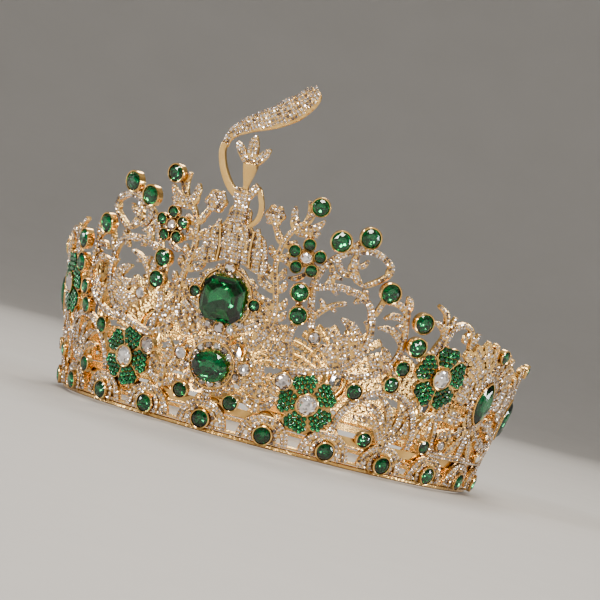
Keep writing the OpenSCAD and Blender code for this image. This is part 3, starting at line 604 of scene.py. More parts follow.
def face_outward(mesh, sharp=None):
    """Turns the faces outward, and keeps edges past so many degrees sharp."""
    body = bmesh.new()
    body.from_mesh(mesh)
    bmesh.ops.recalc_face_normals(body, faces=body.faces)
    if sharp is not None:
        for edge in body.edges:
            edge.smooth = edge.calc_face_angle(0) < radians(sharp)
    body.to_mesh(mesh)
    body.free()


def finished(name, mesh, sharp=None, slot="pave_gold", replaces=()):
    """A finished piece, riding on the crown."""
    face_outward(mesh, sharp)
    mesh.name = name
    made = added(name, mesh)
    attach(made, "root")
    if replaces:
        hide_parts(*replaces)


def keep(mesh, name, kind, values):
    """Keeps a number, vector or turn of each point on the mesh."""
    numbers = values if kind == "FLOAT" else [number for value in values for number in value]
    kept = mesh.attributes.new(name, kind, "POINT")
    kept.data.foreach_set("vector" if kind == "FLOAT_VECTOR" else "value", numbers)


# Rails, which the bar tree sweeps

class Rails:
    """Paths on the wall with a width, a front and a back, each one number or one for every point."""

    def __init__(self):
        self.points = []
        self.edges = []
        self.values = {"centre": [], "side": [], "outward": [], "half": [], "front": [], "back": []}

    def add(self, path, widths, front=0.0, back=-METAL, whole=False):
        first = len(self.points)
        count = len(path)
        for i, (a, z) in enumerate(path):
            behind = path[i - 1] if whole or i else path[i]
            ahead = path[(i + 1) % count] if whole or i < count - 1 else path[i]
            dx = (ahead[0] - behind[0]) * span(z)
            dy = ahead[1] - behind[1]
            length = hypot(dx, dy)
            across, up, outward = axes(a)
            self.points.append(spot(a, z))
            side = (up * dx - across * dy) / length
            level = [value[i] if isinstance(value, list) else value for value in (widths, front, back)]
            row = (spot(a, z), side, outward, level[0] / 2 * MM, level[1] * MM, level[2] * MM)
            for values, value in zip(self.values.values(), row):
                values.append(value)
        self.edges += [(first + i, first + i + 1) for i in range(count - 1)]
        if whole:
            self.edges.append((first + count - 1, first))

    def mesh(self, name):
        made = bpy.data.meshes.new(name)
        made.from_pydata(self.points, self.edges, [])
        for key, values in self.values.items():
            keep(made, key, "FLOAT_VECTOR" if isinstance(values[0], Vector) else "FLOAT", values)
        return made


class Shells:
    """Closed shells that need an outline of their own: plates, cups and lathed forms."""

    def __init__(self):
        self.points = []
        self.faces = []

    def rings(self, rings, whole=False):
        """A skin over rings of equal count, with flat ends unless it closes on itself."""
        first, count, sides = len(self.points), len(rings), len(rings[0])
        for ring in rings:
            self.points += ring
        for i in range(count if whole else count - 1):
            low, high = first + i * sides, first + (i + 1) % count * sides
            for j in range(sides):
                k = (j + 1) % sides
                self.faces.append((low + j, low + k, high + k, high + j))
        if not whole:
            self.faces.append(tuple(first + j for j in reversed(range(sides))))
            self.faces.append(tuple(first + (count - 1) * sides + j for j in range(sides)))

    def plate(self, outline, front, back=-METAL):
        """A plate with that outline, its edges eased by 0.2 mm."""
        edge = 0.2
        middle = [sum(values) / len(outline) for values in zip(*outline)]
        size = max(hypot((a - middle[0]) * span(z), z - middle[1]) for a, z in outline)
        inner = [tuple(m + (v - m) * (1 - edge / size) for v, m in zip(place, middle)) for place in outline]
        self.rings([[spot(a, z, back) for a, z in inner], [spot(a, z, back + edge) for a, z in outline],
                    [spot(a, z, front - edge) for a, z in outline], [spot(a, z, front) for a, z in inner]])

    def mesh(self, name, material):
        made = bpy.data.meshes.new(name)
        made.from_pydata(self.points, [], self.faces)
        made.materials.append(material)
        for face in made.polygons:
            face.use_smooth = True
        return made


def cell(point, size):
    """The search cell that a point lies in, for cells of a size in mm."""
    return tuple(int(v / (size * MM) // 1) for v in point)


def neighbours(cells, key):
    """What is kept in a search cell and in those round it."""
    x, y, z = key
    return [other for i in (x - 1, x, x + 1) for j in (y - 1, y, y + 1) for k in (z - 1, z, z + 1)
            for other in cells.get((i, j, k), ())]


class Field:
    """Places for small things, none closer to another than their radii allow."""

    # Size of a search cell and radius of the smallest stone in mm, how much of their radii two stones
    # need between them, and how many degrees they sit uneven
    CELL = 3.4
    SMALLEST = 0.28
    CROWDING = 0.92
    UNEVENNESS = 5.0
    # A claw's radius, its lift, the least distance between two, and the size of their search cells
    CLAW = 0.17
    CLAW_LIFT = 0.16
    CLAW_PITCH = 0.5
    CLAW_CELL = 0.6

    def __init__(self, seed):
        self.cells = {}
        self.places = []
        self.chance = Random(seed)

    def is_free(self, point, radius):
        return all((other - point).length >= (reach + radius) * MM * self.CROWDING
                   for other, reach in neighbours(self.cells, cell(point, self.CELL)))

    def block(self, a, z, radius):
        """Keeps a round place free, drawn as small discs where it is large."""
        step = self.CELL / 2
        if radius <= step:
            self.fill(spot(a, z), radius)
            return
        for ring in range(int(ceil(radius / step))):
            reach = max(radius - step - ring * step, 0)
            count = max(int(2 * pi * reach / (step * 0.7)), 1)
            for t in around(count):
                self.fill(spot(*off(a, z, reach * cos(t), reach * sin(t))), step)

    def fill(self, point, radius):
        self.cells.setdefault(cell(point, self.CELL), []).append((point, radius))

    def put(self, a, z, radius, depth=0.0, heading=0.0):
        """Adds a stone if there is room for it, turned along its row and sitting a little unevenly."""
        point = spot(a, z, depth)
        if self.is_free(point, radius):
            self.fill(point, radius)
            row = Matrix(axes(a)).transposed().to_quaternion() @ Quaternion((0, 0, 1), heading)
            wobble = Quaternion((1, 0, 0), radians(self.chance.gauss(0, self.UNEVENNESS)))
            wobble @= Quaternion((0, 1, 0), radians(self.chance.gauss(0, self.UNEVENNESS)))
            self.places.append((point, row @ wobble, radius))

    def along(self, path, widths, depth=0.0, whole=False):
        """Rows of stones along a bar: two small rows, or one of larger stones where it is slim."""
        ends, sizes = (path + path[:1], widths + widths[:1]) if whole else (path, widths)
        steps = [0.0]
        for (a0, z0), (a1, z1) in zip(ends, ends[1:]):
            steps.append(steps[-1] + hypot((a1 - a0) * span(z0), z1 - z0))
        slim = max(sizes) < TWO_ROWS
        pitch = min(max(sizes) + 0.1, PAVE_LARGE) if slim else PAVE_PITCH
        count = max(round(steps[-1] / pitch), 1)
        here = 0
        for n in range(count):
            reach = (n + 0.5) * steps[-1] / count
            while here < len(steps) - 2 and steps[here + 1] < reach:
                here += 1
            t = (reach - steps[here]) / max(steps[here + 1] - steps[here], 1e-9)
            (a0, z0), (a1, z1) = ends[here], ends[here + 1]
            a, z = a0 + (a1 - a0) * t, z0 + (z1 - z0) * t
            width = sizes[here] + (sizes[here + 1] - sizes[here]) * t
            dx, dy = (a1 - a0) * span(z), z1 - z0
            length = hypot(dx, dy)
            # Stones may stand a little over the bar's edges, and where it is too slim there are none
            rows = max(int((width + 0.25) / PAVE_PITCH + 0.3), 1)
            radius = min(pitch, width + 0.2) / 2 * PAVE_FILL
            for row in range(rows if radius > self.SMALLEST else 0):
                aside = (row - (rows - 1) / 2) * min(PAVE_PITCH, (width + 0.35) / rows)
                self.put(*off(a, z, -dy / length * aside, dx / length * aside), radius, depth, atan2(dy, dx))

    def inside(self, outline, depth):
        """Stones set close together over a flat outline."""
        low_z, high_z = min(z for a, z in outline), max(z for a, z in outline)
        low_a, high_a = min(a for a, z in outline), max(a for a, z in outline)
        row_step = PAVE_PITCH * 0.87
        z, row = low_z, 0
        while z < high_z:
            step = PAVE_PITCH / span(z)
            a = low_a + (row % 2) * step / 2
            while a < high_a:
                if within(a, z, outline, PAVE_PITCH * 0.36):
                    self.put(a, z, PAVE_PITCH / 2 * PAVE_FILL, depth)
                a += step
            z += row_step
            row += 1

    def mesh(self, name):
        return point_mesh(name, [(point, turn, (radius,) * 3) for point, turn, radius in self.places])

    def claws(self):
        """The little claws between the stones, each shared by its neighbours."""
        made = []
        cells = {}
        for point, turn, reach in self.places:
            for x, y in ((1.05, 0.66), (-1.05, 0.66), (-1.05, -0.66), (1.05, -0.66)):
                place = point + turn @ Vector((x, y, 0)) * (reach * MM)
                key = cell(place, self.CLAW_CELL)
                if all((other - place).length > self.CLAW_PITCH * MM for other in neighbours(cells, key)):
                    cells.setdefault(key, []).append(place)
                    raised = place + turn @ Vector((0, 0, self.CLAW_LIFT * MM))
                    made.append((raised, turn, (self.CLAW,) * 3))
        return made


def within(a, z, outline, margin):
    """Whether a place lies inside an outline, and so far from its edge."""
    inside = False
    x, y = a * span(z), z
    previous = outline[-1]
    nearest = 1e9
    for corner in outline:
        (x0, y0), (x1, y1) = (previous[0] * span(z), previous[1]), (corner[0] * span(z), corner[1])
        if (y0 > y) != (y1 > y) and x < x0 + (x1 - x0) * (y - y0) / (y1 - y0):
            inside = not inside
        dx, dy = x1 - x0, y1 - y0
        t = min(max(((x - x0) * dx + (y - y0) * dy) / max(dx * dx + dy * dy, 1e-9), 0), 1)
        nearest = min(nearest, hypot(x - x0 - t * dx, y - y0 - t * dy))
        previous = corner
    return inside and nearest > margin


def point_mesh(name, rows):
    """Points that carry a turn and a size in millimetres."""
    made = bpy.data.meshes.new(name)
    made.from_pydata([point for point, _, _ in rows], [], [])
    keep(made, "turn", "QUATERNION", [turn for _, turn, _ in rows])
    keep(made, "size", "FLOAT_VECTOR", [[number * MM for number in size] for _, _, size in rows])
    return made


def upright(a, z, depth, size, spin=0.0):
    """One point on the wall that faces straight out, for a stone or a cup."""
    across, up, outward = axes(a)
    turn = Matrix((across, up, outward)).transposed().to_quaternion()
    return (spot(a, z, depth), turn @ Quaternion((0, 0, 1), radians(spin)), size)


def both(rows):
    """Right-hand rows and their mirror images."""
    return [(side * a, *rest) for side in (1, -1) for a, *rest in rows]


# Cut stones, one unit in radius, hulled from rings of corners

def cut_shape(name, rings):
    """A convex stone from rings of (x, y, z) corners."""
    body = bmesh.new()
    for ring in rings:
        for corner in ring:
            body.verts.new(corner)
    made = bmesh.ops.convex_hull(body, input=body.verts)
    bmesh.ops.delete(body, geom=made["geom_interior"] + made["geom_unused"], context="VERTS")
    bmesh.ops.dissolve_limit(body, angle_limit=radians(1.0), verts=body.verts, edges=body.edges)
    body.normal_update()
    mesh = bpy.data.meshes.new(name)
    body.to_mesh(mesh)
    backs = [face.normal.z < -0.1 for face in body.faces]
    body.free()
    mesh.attributes.new("foil", "BOOLEAN", "FACE").data.foreach_set("value", backs)
    return bpy.data.objects.new(name, mesh)


def ring_of(count, radius, height, turn=0.0, sx=1.0, sy=1.0):
    turns = [2 * pi * (i + turn) / count for i in range(count)]
    return [(sx * radius * cos(t), sy * radius * sin(t), height) for t in turns]


def brilliant(name, sx=1.0, sy=1.0, sides=8):
    """A round or oval brilliant: table, star, crown and girdle above, pavilion below."""
    return cut_shape(name, [
        ring_of(sides, 0.55, 0.42, 0.0, sx, sy), ring_of(sides, 0.80, 0.27, 0.5, sx, sy),
        ring_of(2 * sides, 1.0, 0.05, 0.0, sx, sy), ring_of(2 * sides, 1.0, -0.03, 0.0, sx, sy),
        ring_of(sides, 0.62, -0.36, 0.5, sx, sy), ring_of(sides, 0.25, -0.55, 0.0, sx, sy), [(0, 0, -0.62)]])


def cushion_ring(half, height, per_side=4):
    """A square with rounded corners and slightly bowed sides."""
    ring = []
    for side in range(4):
        for i in range(per_side):
            t = -1 + 2 * (i + 0.5) / per_side
            reach = half * (1 + 0.05 * (1 - t * t))
            ring.append((*turned(reach, t * half * CORNER_START, side * pi / 2), height))
    return ring


def cushion_cut(name):
    return cut_shape(name, [
        cushion_ring(0.52, 0.34, per_side=2), cushion_ring(0.80, 0.24, per_side=3),
        cushion_ring(1.0, 0.05), cushion_ring(1.0, -0.02), cushion_ring(0.80, -0.18, per_side=3),
        cushion_ring(0.46, -0.34, per_side=2), [(0, 0, -0.45)]])


def pointed_cut(name):
    """A pointed oval, in millimetres as it is."""
    levels = [(0.5, 2.0, 3), (0.8, 1.5, 2), (1.0, 0.55, 4), (1.0, 0.3, 4), (0.55, -0.9, 2)]
    return cut_shape(name, [
        [(x, y, height) for x, y in pointed(MEDALLION_HALF * f, MEDALLION_RISE * f, steps)]
        for f, height, steps in levels])


def cup_shape(name):
    """A bezel cup for a stone one unit in radius, its seat at the origin's height."""
    outline = [
        (0.06, -1.0), (0.95, -1.0), (1.10, -0.85), (1.15, -0.2), (1.15, 0.16), (1.09, 0.24),
        (1.0, 0.2), (0.97, 0.04), (0.96, -0.72), (0.06, -0.86)]
    shells = Shells()
    shells.rings([[Vector((r * cos(t), r * sin(t), h)) for r, h in outline] for t in around(24)], True)
    mesh = bpy.data.meshes.new(name)
    mesh.from_pydata(shells.points, [], shells.faces)
    face_outward(mesh)
    return bpy.data.objects.new(name, mesh)


# Materials

class Paint(Graph):
    """A material with one shader, its patterns laid out in the piece's own coordinates."""

    def __init__(self, name):
        self.made = bpy.data.materials.new(name)
        self.made.use_nodes = True
        self.made.node_tree.nodes.clear()
        super().__init__(self.made.node_tree)
        self.place = self.get("ShaderNodeTexCoord", {}, {}, "Object")

    def noise(self, scale, detail):
        inputs = {"Vector": self.place, "Scale": scale, "Detail": detail}
        return self.get("ShaderNodeTexNoise", {}, inputs)

    def cells(self, scale, out):
        """Irregular cells: the distance from the middle of one, or a colour for each."""
        inputs = {"Vector": self.place, "Scale": scale}
        return self.get("ShaderNodeTexVoronoi", {"feature": "F1"}, inputs, out)

    def tint(self):
        """The random number that each stone carries; the clear stones turn it into painted glints and shade.
        """
        return self.get("ShaderNodeAttribute", {"attribute_name": "tint"}, {}, "Fac")

    def blend(self, factor, *colours):
        """A colour between two."""
        one, other = [(*colour, 1) if isinstance(colour, tuple) else colour for colour in colours]
        return self.get("ShaderNodeMix", {"data_type": "RGBA"}, {"Factor": factor, 6: one, 7: other}, 2)

    def done(self, inputs):
        """The finished material, its shader fed with values, patterns or colours."""
        shader = self.node("ShaderNodeBsdfPrincipled", {}, inputs)
        self.node("ShaderNodeOutputMaterial", {}, {"Surface": Value(self, shader.outputs[0])})
        return self.made


def gold(name, polish, grain, pits=0.0):
    """Light gold: bright where it is worn, with painted shade in the crevices, and pitted where it is cast.
    """
    paint = Paint(name)
    broad, fine = paint.noise(160, 2), paint.noise(1500, 4)
    bright = paint.blend(broad * 0.7 + fine * 0.5 - 0.1, DEEP_GOLD, BRIGHT_GOLD)
    # Ambient occlusion picks where the base colour turns to the painted crevice shade
    open_air = paint.get("ShaderNodeAmbientOcclusion", {"samples": 4}, {"Distance": SHADE_REACH}, "AO")
    height = broad * 0.6 + fine * 0.4
    if pits:
        height = height + paint.cells(PITS_PER_METRE, "Distance") * pits
    normal = paint.get("ShaderNodeBump", {}, {"Height": height, "Distance": grain, "Strength": 0.5})
    return paint.done({
        "Base Color": paint.blend(open_air, PAINTED_CREVICE_SHADE, bright), "Metallic": 1.0,
        "Roughness": fine * 0.14 + broad * 0.10 + polish, "Normal": normal})


def facets(paint, size):
    """Normals turned a little from patch to patch, as on small cut facets."""
    straight = paint.get("ShaderNodeNewGeometry", {}, {}, "Normal")
    patch = paint.cells(1 / size, "Color").vector("SUBTRACT", (0.5, 0.5, 0.5))
    return patch.scaled(FACET_TILT).vector("ADD", straight).vector("NORMALIZE")


def clear_stone(name, dark, warm, facet):
    """Foil-backed clear glass: each stone is painted a random brightness from dark to bright, as painted
    glints and shade, and its facets flash one by one.
    """
    paint = Paint(name)
    # Dark stops are painted shade and bright stops painted glints, one per stone at random
    ramp = paint.get("ShaderNodeValToRGB", {"stops": [
        (0.0, dark), (0.3, (0.55, 0.49, 0.47)), (0.6, (0.90, 0.84, 0.83)), (0.85, (1.0, 0.98, 0.97)),
        (1.0, warm)]}, {"Fac": paint.tint()})
    return paint.done({
        "Base Color": ramp, "Metallic": 0.88, "Roughness": paint.noise(2600, 2) * 0.08 + 0.01,
        "Normal": facets(paint, facet)})


def cut_glass(name, thin, thick):
    """Coloured cut glass that shows its backing, with faint clouds inside."""
    paint = Paint(name)
    return paint.done({
        "Base Color": paint.blend(paint.noise(300, 2), thick, thin),
        "Roughness": paint.noise(1500, 2) * 0.03, "IOR": 1.58, "Transmission Weight": 1.0})


def foil(name, dark, bright, dull):
    """The mirror behind a cut stone; each stone's is a little different."""
    paint = Paint(name)
    shade = paint.noise(500, 2) * 0.7 + paint.tint() * 0.3
    return paint.done({
        "Base Color": paint.blend(shade, dark, bright), "Metallic": 1.0,
        "Roughness": paint.noise(900, 2) * dull})


def stage_paint():
    """A plain pale painted surface with the faintest mottle."""
    paint = Paint("pale_floor")
    return paint.done({
        "Base Color": paint.blend(paint.noise(6, 3), (0.42, 0.41, 0.40), (0.46, 0.45, 0.44)),
        "Roughness": paint.noise(40, 3) * 0.2 + 0.5})


GOLD = gold("polished_gold", 0.02, 0.00006)
CAST_GOLD = gold("cast_gold", 0.12, 0.0003, 1.2)
# The clear stones' dark and bright colours are painted shade and painted glints
PAVE = clear_stone("small_clear_glass", (0.16, 0.12, 0.11), (0.98, 0.80, 0.62), SMALL_FACET)
CLEAR_GLASS = clear_stone("clear_glass", (0.70, 0.66, 0.66), (1.0, 0.95, 0.93), LARGE_FACET)
SILVER_FOIL = foil("silver_foil", (0.72, 0.70, 0.73), (0.98, 0.96, 0.95), 0.3)
GREEN_GLASS = cut_glass("green_glass", (0.012, 0.38, 0.21), (0.002, 0.22, 0.11))
GREEN_FOIL = foil("green_foil", (0.03, 0.34, 0.18), (0.16, 0.85, 0.50), 0.04)
BACK_FOIL = foil("back_foil", (0.40, 0.41, 0.43), (0.62, 0.62, 0.64), 0.16)

BARS = bar_tree()
SMALL_STONE_TREE = pave_tree()
STONE_TREE = shape_tree("cut_stones", False, True)
CUP_TREE = shape_tree("stone_cups", True)


def set_bar(rails, field, path, width, front=0.0, back=-METAL, whole=False):
    """A bar and the rows of small stones on it."""
    widths = width if isinstance(width, list) else [width] * len(path)
    rails.add(path, widths, front, back, whole)
    field.along(path, widths, front, whole)


def widths_along(path, start, end):
    return [start + (end - start) * i / (len(path) - 1) for i in range(len(path))]


def rounded(widths):
    """Narrows the two outer points at each end of a bar, so that it looks cast and not sawn."""
    shape = list(widths)
    for i, factor in enumerate((0.72, 0.86)):
        shape[i] *= factor
        shape[-1 - i] *= factor
    return shape


def leaf_path(a0, z0, a1, z1, bend, shape=LEAF_SHAPE):
    """From base to tip, bowed to one side."""
    dx, dy = (a1 - a0) * span(z0), z1 - z0
    path = []
    for t, _ in shape:
        aside = 4 * bend * t * (1 - t)
        path.append(off(a0, z0, dx * t - dy * aside, dy * t + dx * aside))
    return path


def leaf_bend(row):
    """Leaves of the scrolls hook inwards at the tip; leaves of an upright stem curl up along it."""
    on_scroll = abs(row[0]) > SCROLLS_FROM or abs(row[2]) > abs(row[0])
    return -0.2 if on_scroll else 0.15


def add_leaf(rails, field, row, bend, front=0.0, back=-METAL):
    a0, z0, a1, z1, width = row
    path = leaf_path(a0, z0, a1, z1, bend)
    widths = [width * f for _, f in LEAF_SHAPE]
    rails.add(path, [value + 0.25 for value in widths], front, back)
    field.along(path, widths, front)


def add_spray(stems, leaflets, field, row, bend):
    """A stem with pairs of small plump leaflets, as wide in all as the row says."""
    a0, z0, a1, z1, width = row
    stem = smooth(leaf_path(a0, z0, a1, z1, bend, LEAFLET_SHAPE), 2)
    stems.add(stem, [1.9 - 0.1 * i for i in range(len(stem))], 0.1)
    field.along(stem, [1.3] * len(stem), 0.15)
    count = max(round(hypot((a1 - a0) * span(z0), z1 - z0) / LEAFLET_PITCH), 2)
    for i in range(count + 1):
        j = min(round((0.18 + 0.78 * i / count) * (len(stem) - 1)), len(stem) - 2)
        (a, z), (b, y) = stem[j], stem[j + 1]
        heading = atan2(y - z, (b - a) * span(z))
        size = width * ease(LEAFLET_REACH, i / count)
        for turn in (-LEAFLET_TURN, LEAFLET_TURN) if i < count else (0,):
            way = heading + radians(turn)
            tip = off(a, z, size * cos(way), size * sin(way))
            path = leaf_path(a, z, *tip, 0.1 * turn / LEAFLET_TURN, LEAFLET_SHAPE)
            leaflets.add(path, [LEAFLET_WIDTH * f for _, f in LEAFLET_SHAPE], LEAFLET_FRONT)
            seat = off(*tip, -STONE_INSET * cos(way), -STONE_INSET * sin(way))
            field.put(*seat, LEAFLET_STONE, LEAFLET_FRONT, way)


def petal_turns(turn):
    """The directions of a flower's five petals."""
    return [radians(turn + 72 * i) for i in range(5)]


def petal_outline(a, z, reach, t):
    edge = [(reach * u, reach * v) for u, v in [
        (0.28, 0.18), (0.42, 0.30), (0.58, 0.41), (0.76, 0.44), (0.90, 0.38), (0.99, 0.20)]]
    shape = [(u, -v) for u, v in edge] + [(0.95 * reach, 0)] + edge[::-1]
    return closed([off(a, z, *turned(u, v, t)) for u, v in shape], 3)


def petals():
    """The outlines of the large flowers' petals, right and left."""
    return [swapped(petal_outline(a, z, reach, t), side)
            for a, z, reach, turn in FLOWERS for t in petal_turns(turn) for side in (1, -1)]


def flower_ring(a, z, ring, stone, turn):
    return [(*off(a, z, ring * cos(t), ring * sin(t)), stone) for t in petal_turns(turn)]


def ray_row(z, turn, x0, y0, x1, y1, width):
    """A leaf that points straight away from a centre stone."""
    t = radians(turn)
    return (*off(0, z, x0 * cos(t), y0 * sin(t)), *off(0, z, x1 * cos(t), y1 * sin(t)), width)


def mirrored(row, side):
    """A leaf's row on the right or the left."""
    a0, z0, a1, z1, width = row
    return (side * a0, z0, side * a1, z1, width)


def sprig_rows():
    """Pairs of leaves up a stem."""
    path = smooth(STROKES[SPRIG_STROKE][2], 4)
    rows = []
    for i in range(SPRIG_PAIRS):
        place = SPRIG_FIRST + (SPRIG_LAST - SPRIG_FIRST) * i / (SPRIG_PAIRS - 1)
        j = round(place * (len(path) - 2))
        (a, z), (b, y) = path[j], path[j + 1]
        heading = atan2(y - z, (b - a) * span(z))
        for turn in (-SPRIG_TURN, SPRIG_TURN):
            t = heading + radians(turn)
            tip = off(a, z, SPRIG_LENGTH * cos(t), SPRIG_LENGTH * sin(t))
            rows.append((a, z, *tip, SPRIG_WIDTH))
    return rows


ROUND_STONES = both(TOP_STONES + SMALL_STONES + CLEAR_STONES) + CENTRE_CLEAR_STONES
FLOWER_STONES = [stone for row in both(SMALL_FLOWERS) for stone in flower_ring(*row)]


def front_field():
    """Room for the small stones of the front, round the large ones."""
    field = Field(3)
    for a, z, radius in ROUND_STONES + FLOWER_STONES:
        field.block(a, z, radius * STONE_ROOM)
    for a, z, reach, turn in both(FLOWERS):
        field.block(a, z, 3.8)
        for t in petal_turns(turn):
            way = t if a > 0 else pi - t
            field.block(*off(a, z, reach * 0.60 * cos(way), reach * 0.60 * sin(way)), reach * 0.43)
    for a, z, *_ in both(SMALL_FLOWERS):
        field.block(a, z, 2.0)
    for x in (-3.4, 0, 3.4):
        for y in (-3.4, 0, 3.4):
            field.block(*off(0, CUSHION[2], x, y), 3.5)
    for x in (-2.2, 0, 2.2):
        field.block(*off(0, OVAL[2], x, 0), 3.9)
    for a, z in loop(0, OVAL[2] + 0.5, 6.75, 6.3, 15, 12, 372):
        field.put(a, z, 1.3, 0.35)
    for a, z, radius in both(FRAME_STONES) + MIDDLE_STONES:
        field.put(a, z, radius, 0.5)
    return field


def front_work():
    """The tall front: scrolls, leaves, sprigs and the frames of the two centre stones."""
    rails, field = Rails(), front_field()
    for side in (1, -1):
        for start, end, points in STROKES:
            path = smooth(swapped(points, side), 6)
            widths = widths_along(path, start, end)
            rails.add(path, rounded([width + PAVE_EDGE for width in widths]), 0.15)
            field.along(path, widths, 0.15)
        for row in LEAVES + BARBS + NET_LEAVES + sprig_rows():
            add_leaf(rails, field, mirrored(row, side), leaf_bend(row) * side)
        for z, first, step, count, ends, width in RAYS:
            for i in range(count):
                ray = ray_row(z, first + i * step, *ends, width)
                add_leaf(rails, field, mirrored(ray, side), 0)
    for z, rx, ry in ((OVAL_FRAME, 6.9, 7.1), (CUSHION[2], 8.3, 8.7)):
        set_bar(rails, field, loop(0, z, rx, ry, 48), 2.6, 0.1, whole=True)
    for low, high, width in ((10.5, 13.8, 3.4), (29.0, 35.6, 5.6), (50.6, 56.0, 5.0)):
        set_bar(rails, field, [(0, low), (0, (low + high) / 2), (0, high)], width)
    for a, z, radius in ROSETTES:
        field.inside(loop(a, z, radius + 0.1, radius + 0.1, 20), 0.2)
    return rails, field


def wires():
    """Thin polished wires: round the two centre stones, and the rims of the petals."""
    rails = Rails()
    rails.add(loop(0, OVAL_FRAME, 7.6, 7.5, 48), 0.55, 0.75, -0.2, True)
    rails.add(loop(0, CUSHION[2], 9.0, 9.9, 48), 0.55, 0.75, -0.2, True)
    for outline in petals():
        rails.add(outline, 0.5, 0.5, -1.2, True)
    return rails


def plates():
    """The petals of the large flowers and the seats that the round stones stand on."""
    shells = Shells()
    for outline in petals():
        shells.plate(outline, 0.25)
    for a, z, *_ in both(FLOWERS):
        shells.plate(loop(a, z, 3.6, 3.6, 20), -0.6)
    for a, z, *_ in both(SMALL_FLOWERS):
        shells.plate(loop(a, z, 3.0, 3.0, 16), 0.1)
    for a, z, radius in ROSETTES:
        edge = [(t, radius + 0.3 * cos(6 * t)) for t in around(36)]
        shells.plate([off(a, z, reach * cos(t), reach * sin(t)) for t, reach in edge], 0.2)
    shells.plate(loop(0, OVAL[2], 6.4, 5.6, 24), -1.1)
    shells.plate(loop(0, CUSHION[2], 7.6, 7.6, 24), -1.0)
    return shells


def arch_angles():
    half = FRONT_ARCHES // 2
    right = [k * FRONT_PITCH for k in range(1, half + 1)]
    edge = half * FRONT_PITCH + (FRONT_PITCH + BACK_PITCH) / 2
    right += [edge + k * BACK_PITCH for k in range(half)]
    return [0.0] + right + [180.0] + [-a for a in right]


def arch_work():
    """Horseshoe arches over a low rim, each with an inner arch round its stone."""
    rails, field = Rails(), Field(5)
    for a in arch_angles():
        field.block(a, ARCH_STONE_HEIGHT, ARCH_STONE * 1.1)
        outer = smooth([off(a, 0, x, y) for x, y in ARCH], 4)
        inner = loop(a, ARCH_STONE_HEIGHT, *INNER_ARCH)
        set_bar(rails, field, outer, 2.5, 0.1)
        set_bar(rails, field, inner, 1.7, 0.3)
        for side in (1, -1):
            for points, width in ((ARCH_FOOT, 1.1), (ARCH_TIE, 1.5)):
                path = smooth([off(a, 0, side * x, y) for x, y in points], 3)
                set_bar(rails, field, path, width)
    rails.add([(a, RIM_HEIGHT) for a in range(0, 360, 2)], 0.9, -0.1, whole=True)
    return rails, field


def side_work():
    """The lower run round the sides and back: pointed medallions between spiky fronds."""
    rails, leaflets, field = Rails(), Rails(), Field(9)
    for a, z, radius in both([row for row in CLEAR_STONES if row[0] > SIDE_START]):
        field.block(a, z, radius * STONE_ROOM)
    for a, half, z, top in MEDALLIONS:
        field.block(a, top, 2.6)
        for y, radius in ((-5.4, 2.6), (-3.2, 4.2), (0, 5.3), (3.2, 4.2), (5.4, 2.6)):
            field.block(a, z + y, radius)
        collar = lens(a, z, MEDALLION_HALF + 1.7, MEDALLION_RISE + 2.2, 7)
        set_bar(rails, field, collar, 2.2, 0.35, whole=True)
        set_bar(rails, field, [(a, z + 8.4), (a, z + 11), (a, top)], 2.6, 0.1)
        set_bar(rails, field, [(a, 10.8), (a, 14), (a, z - 8)], 3.8, 0.1)
        for side in (1, -1):
            for x0, y0, reach, y1, width in FRONDS:
                stretch = (top - z) / FROND_RISE if y1 > 0 else (z - SILL) / FROND_DROP
                row = (*off(a, z, side * x0, y0), a + side * reach * half, z + y1 * stretch, width)
                add_spray(rails, leaflets, field, row, 0.10 * side if y1 > 0 else -0.06 * side)
    for side in (1, -1):
        for row in FLOWER_FRONDS:
            add_spray(rails, leaflets, field, mirrored(row, side), -0.10 * side)
    sill = [(SIDE_START + 1.5 * i, SILL - 1.4) for i in range(160) if SIDE_START + 1.5 * i < SIDE_END]
    set_bar(rails, field, sill, 2.6, 0.1)
    add_bars("side_leaflets", leaflets, CAST_GOLD, sides=6, replaces=("side_filigree",))
    return rails, field


def behind_stones(rings, whole=False):
    """Shells behind the pointed stones, as seen from inside the crown."""
    shells = Shells()
    for a, _, z, _ in MEDALLIONS:
        shells.rings([[spot(*place, depth) for place in lens(a, z, wide, rise, 6)]
                      for wide, rise, depth in rings], whole)
    return shells


def bezels():
    """The thin standing walls that hold the pointed stones."""
    rails = Rails()
    for a, _, z, _ in MEDALLIONS:
        outline = lens(a, z, MEDALLION_HALF + 0.35, MEDALLION_RISE + 0.5, 9)
        rails.add(outline, 0.6, 1.15, -METAL - 0.9, True)
    return rails


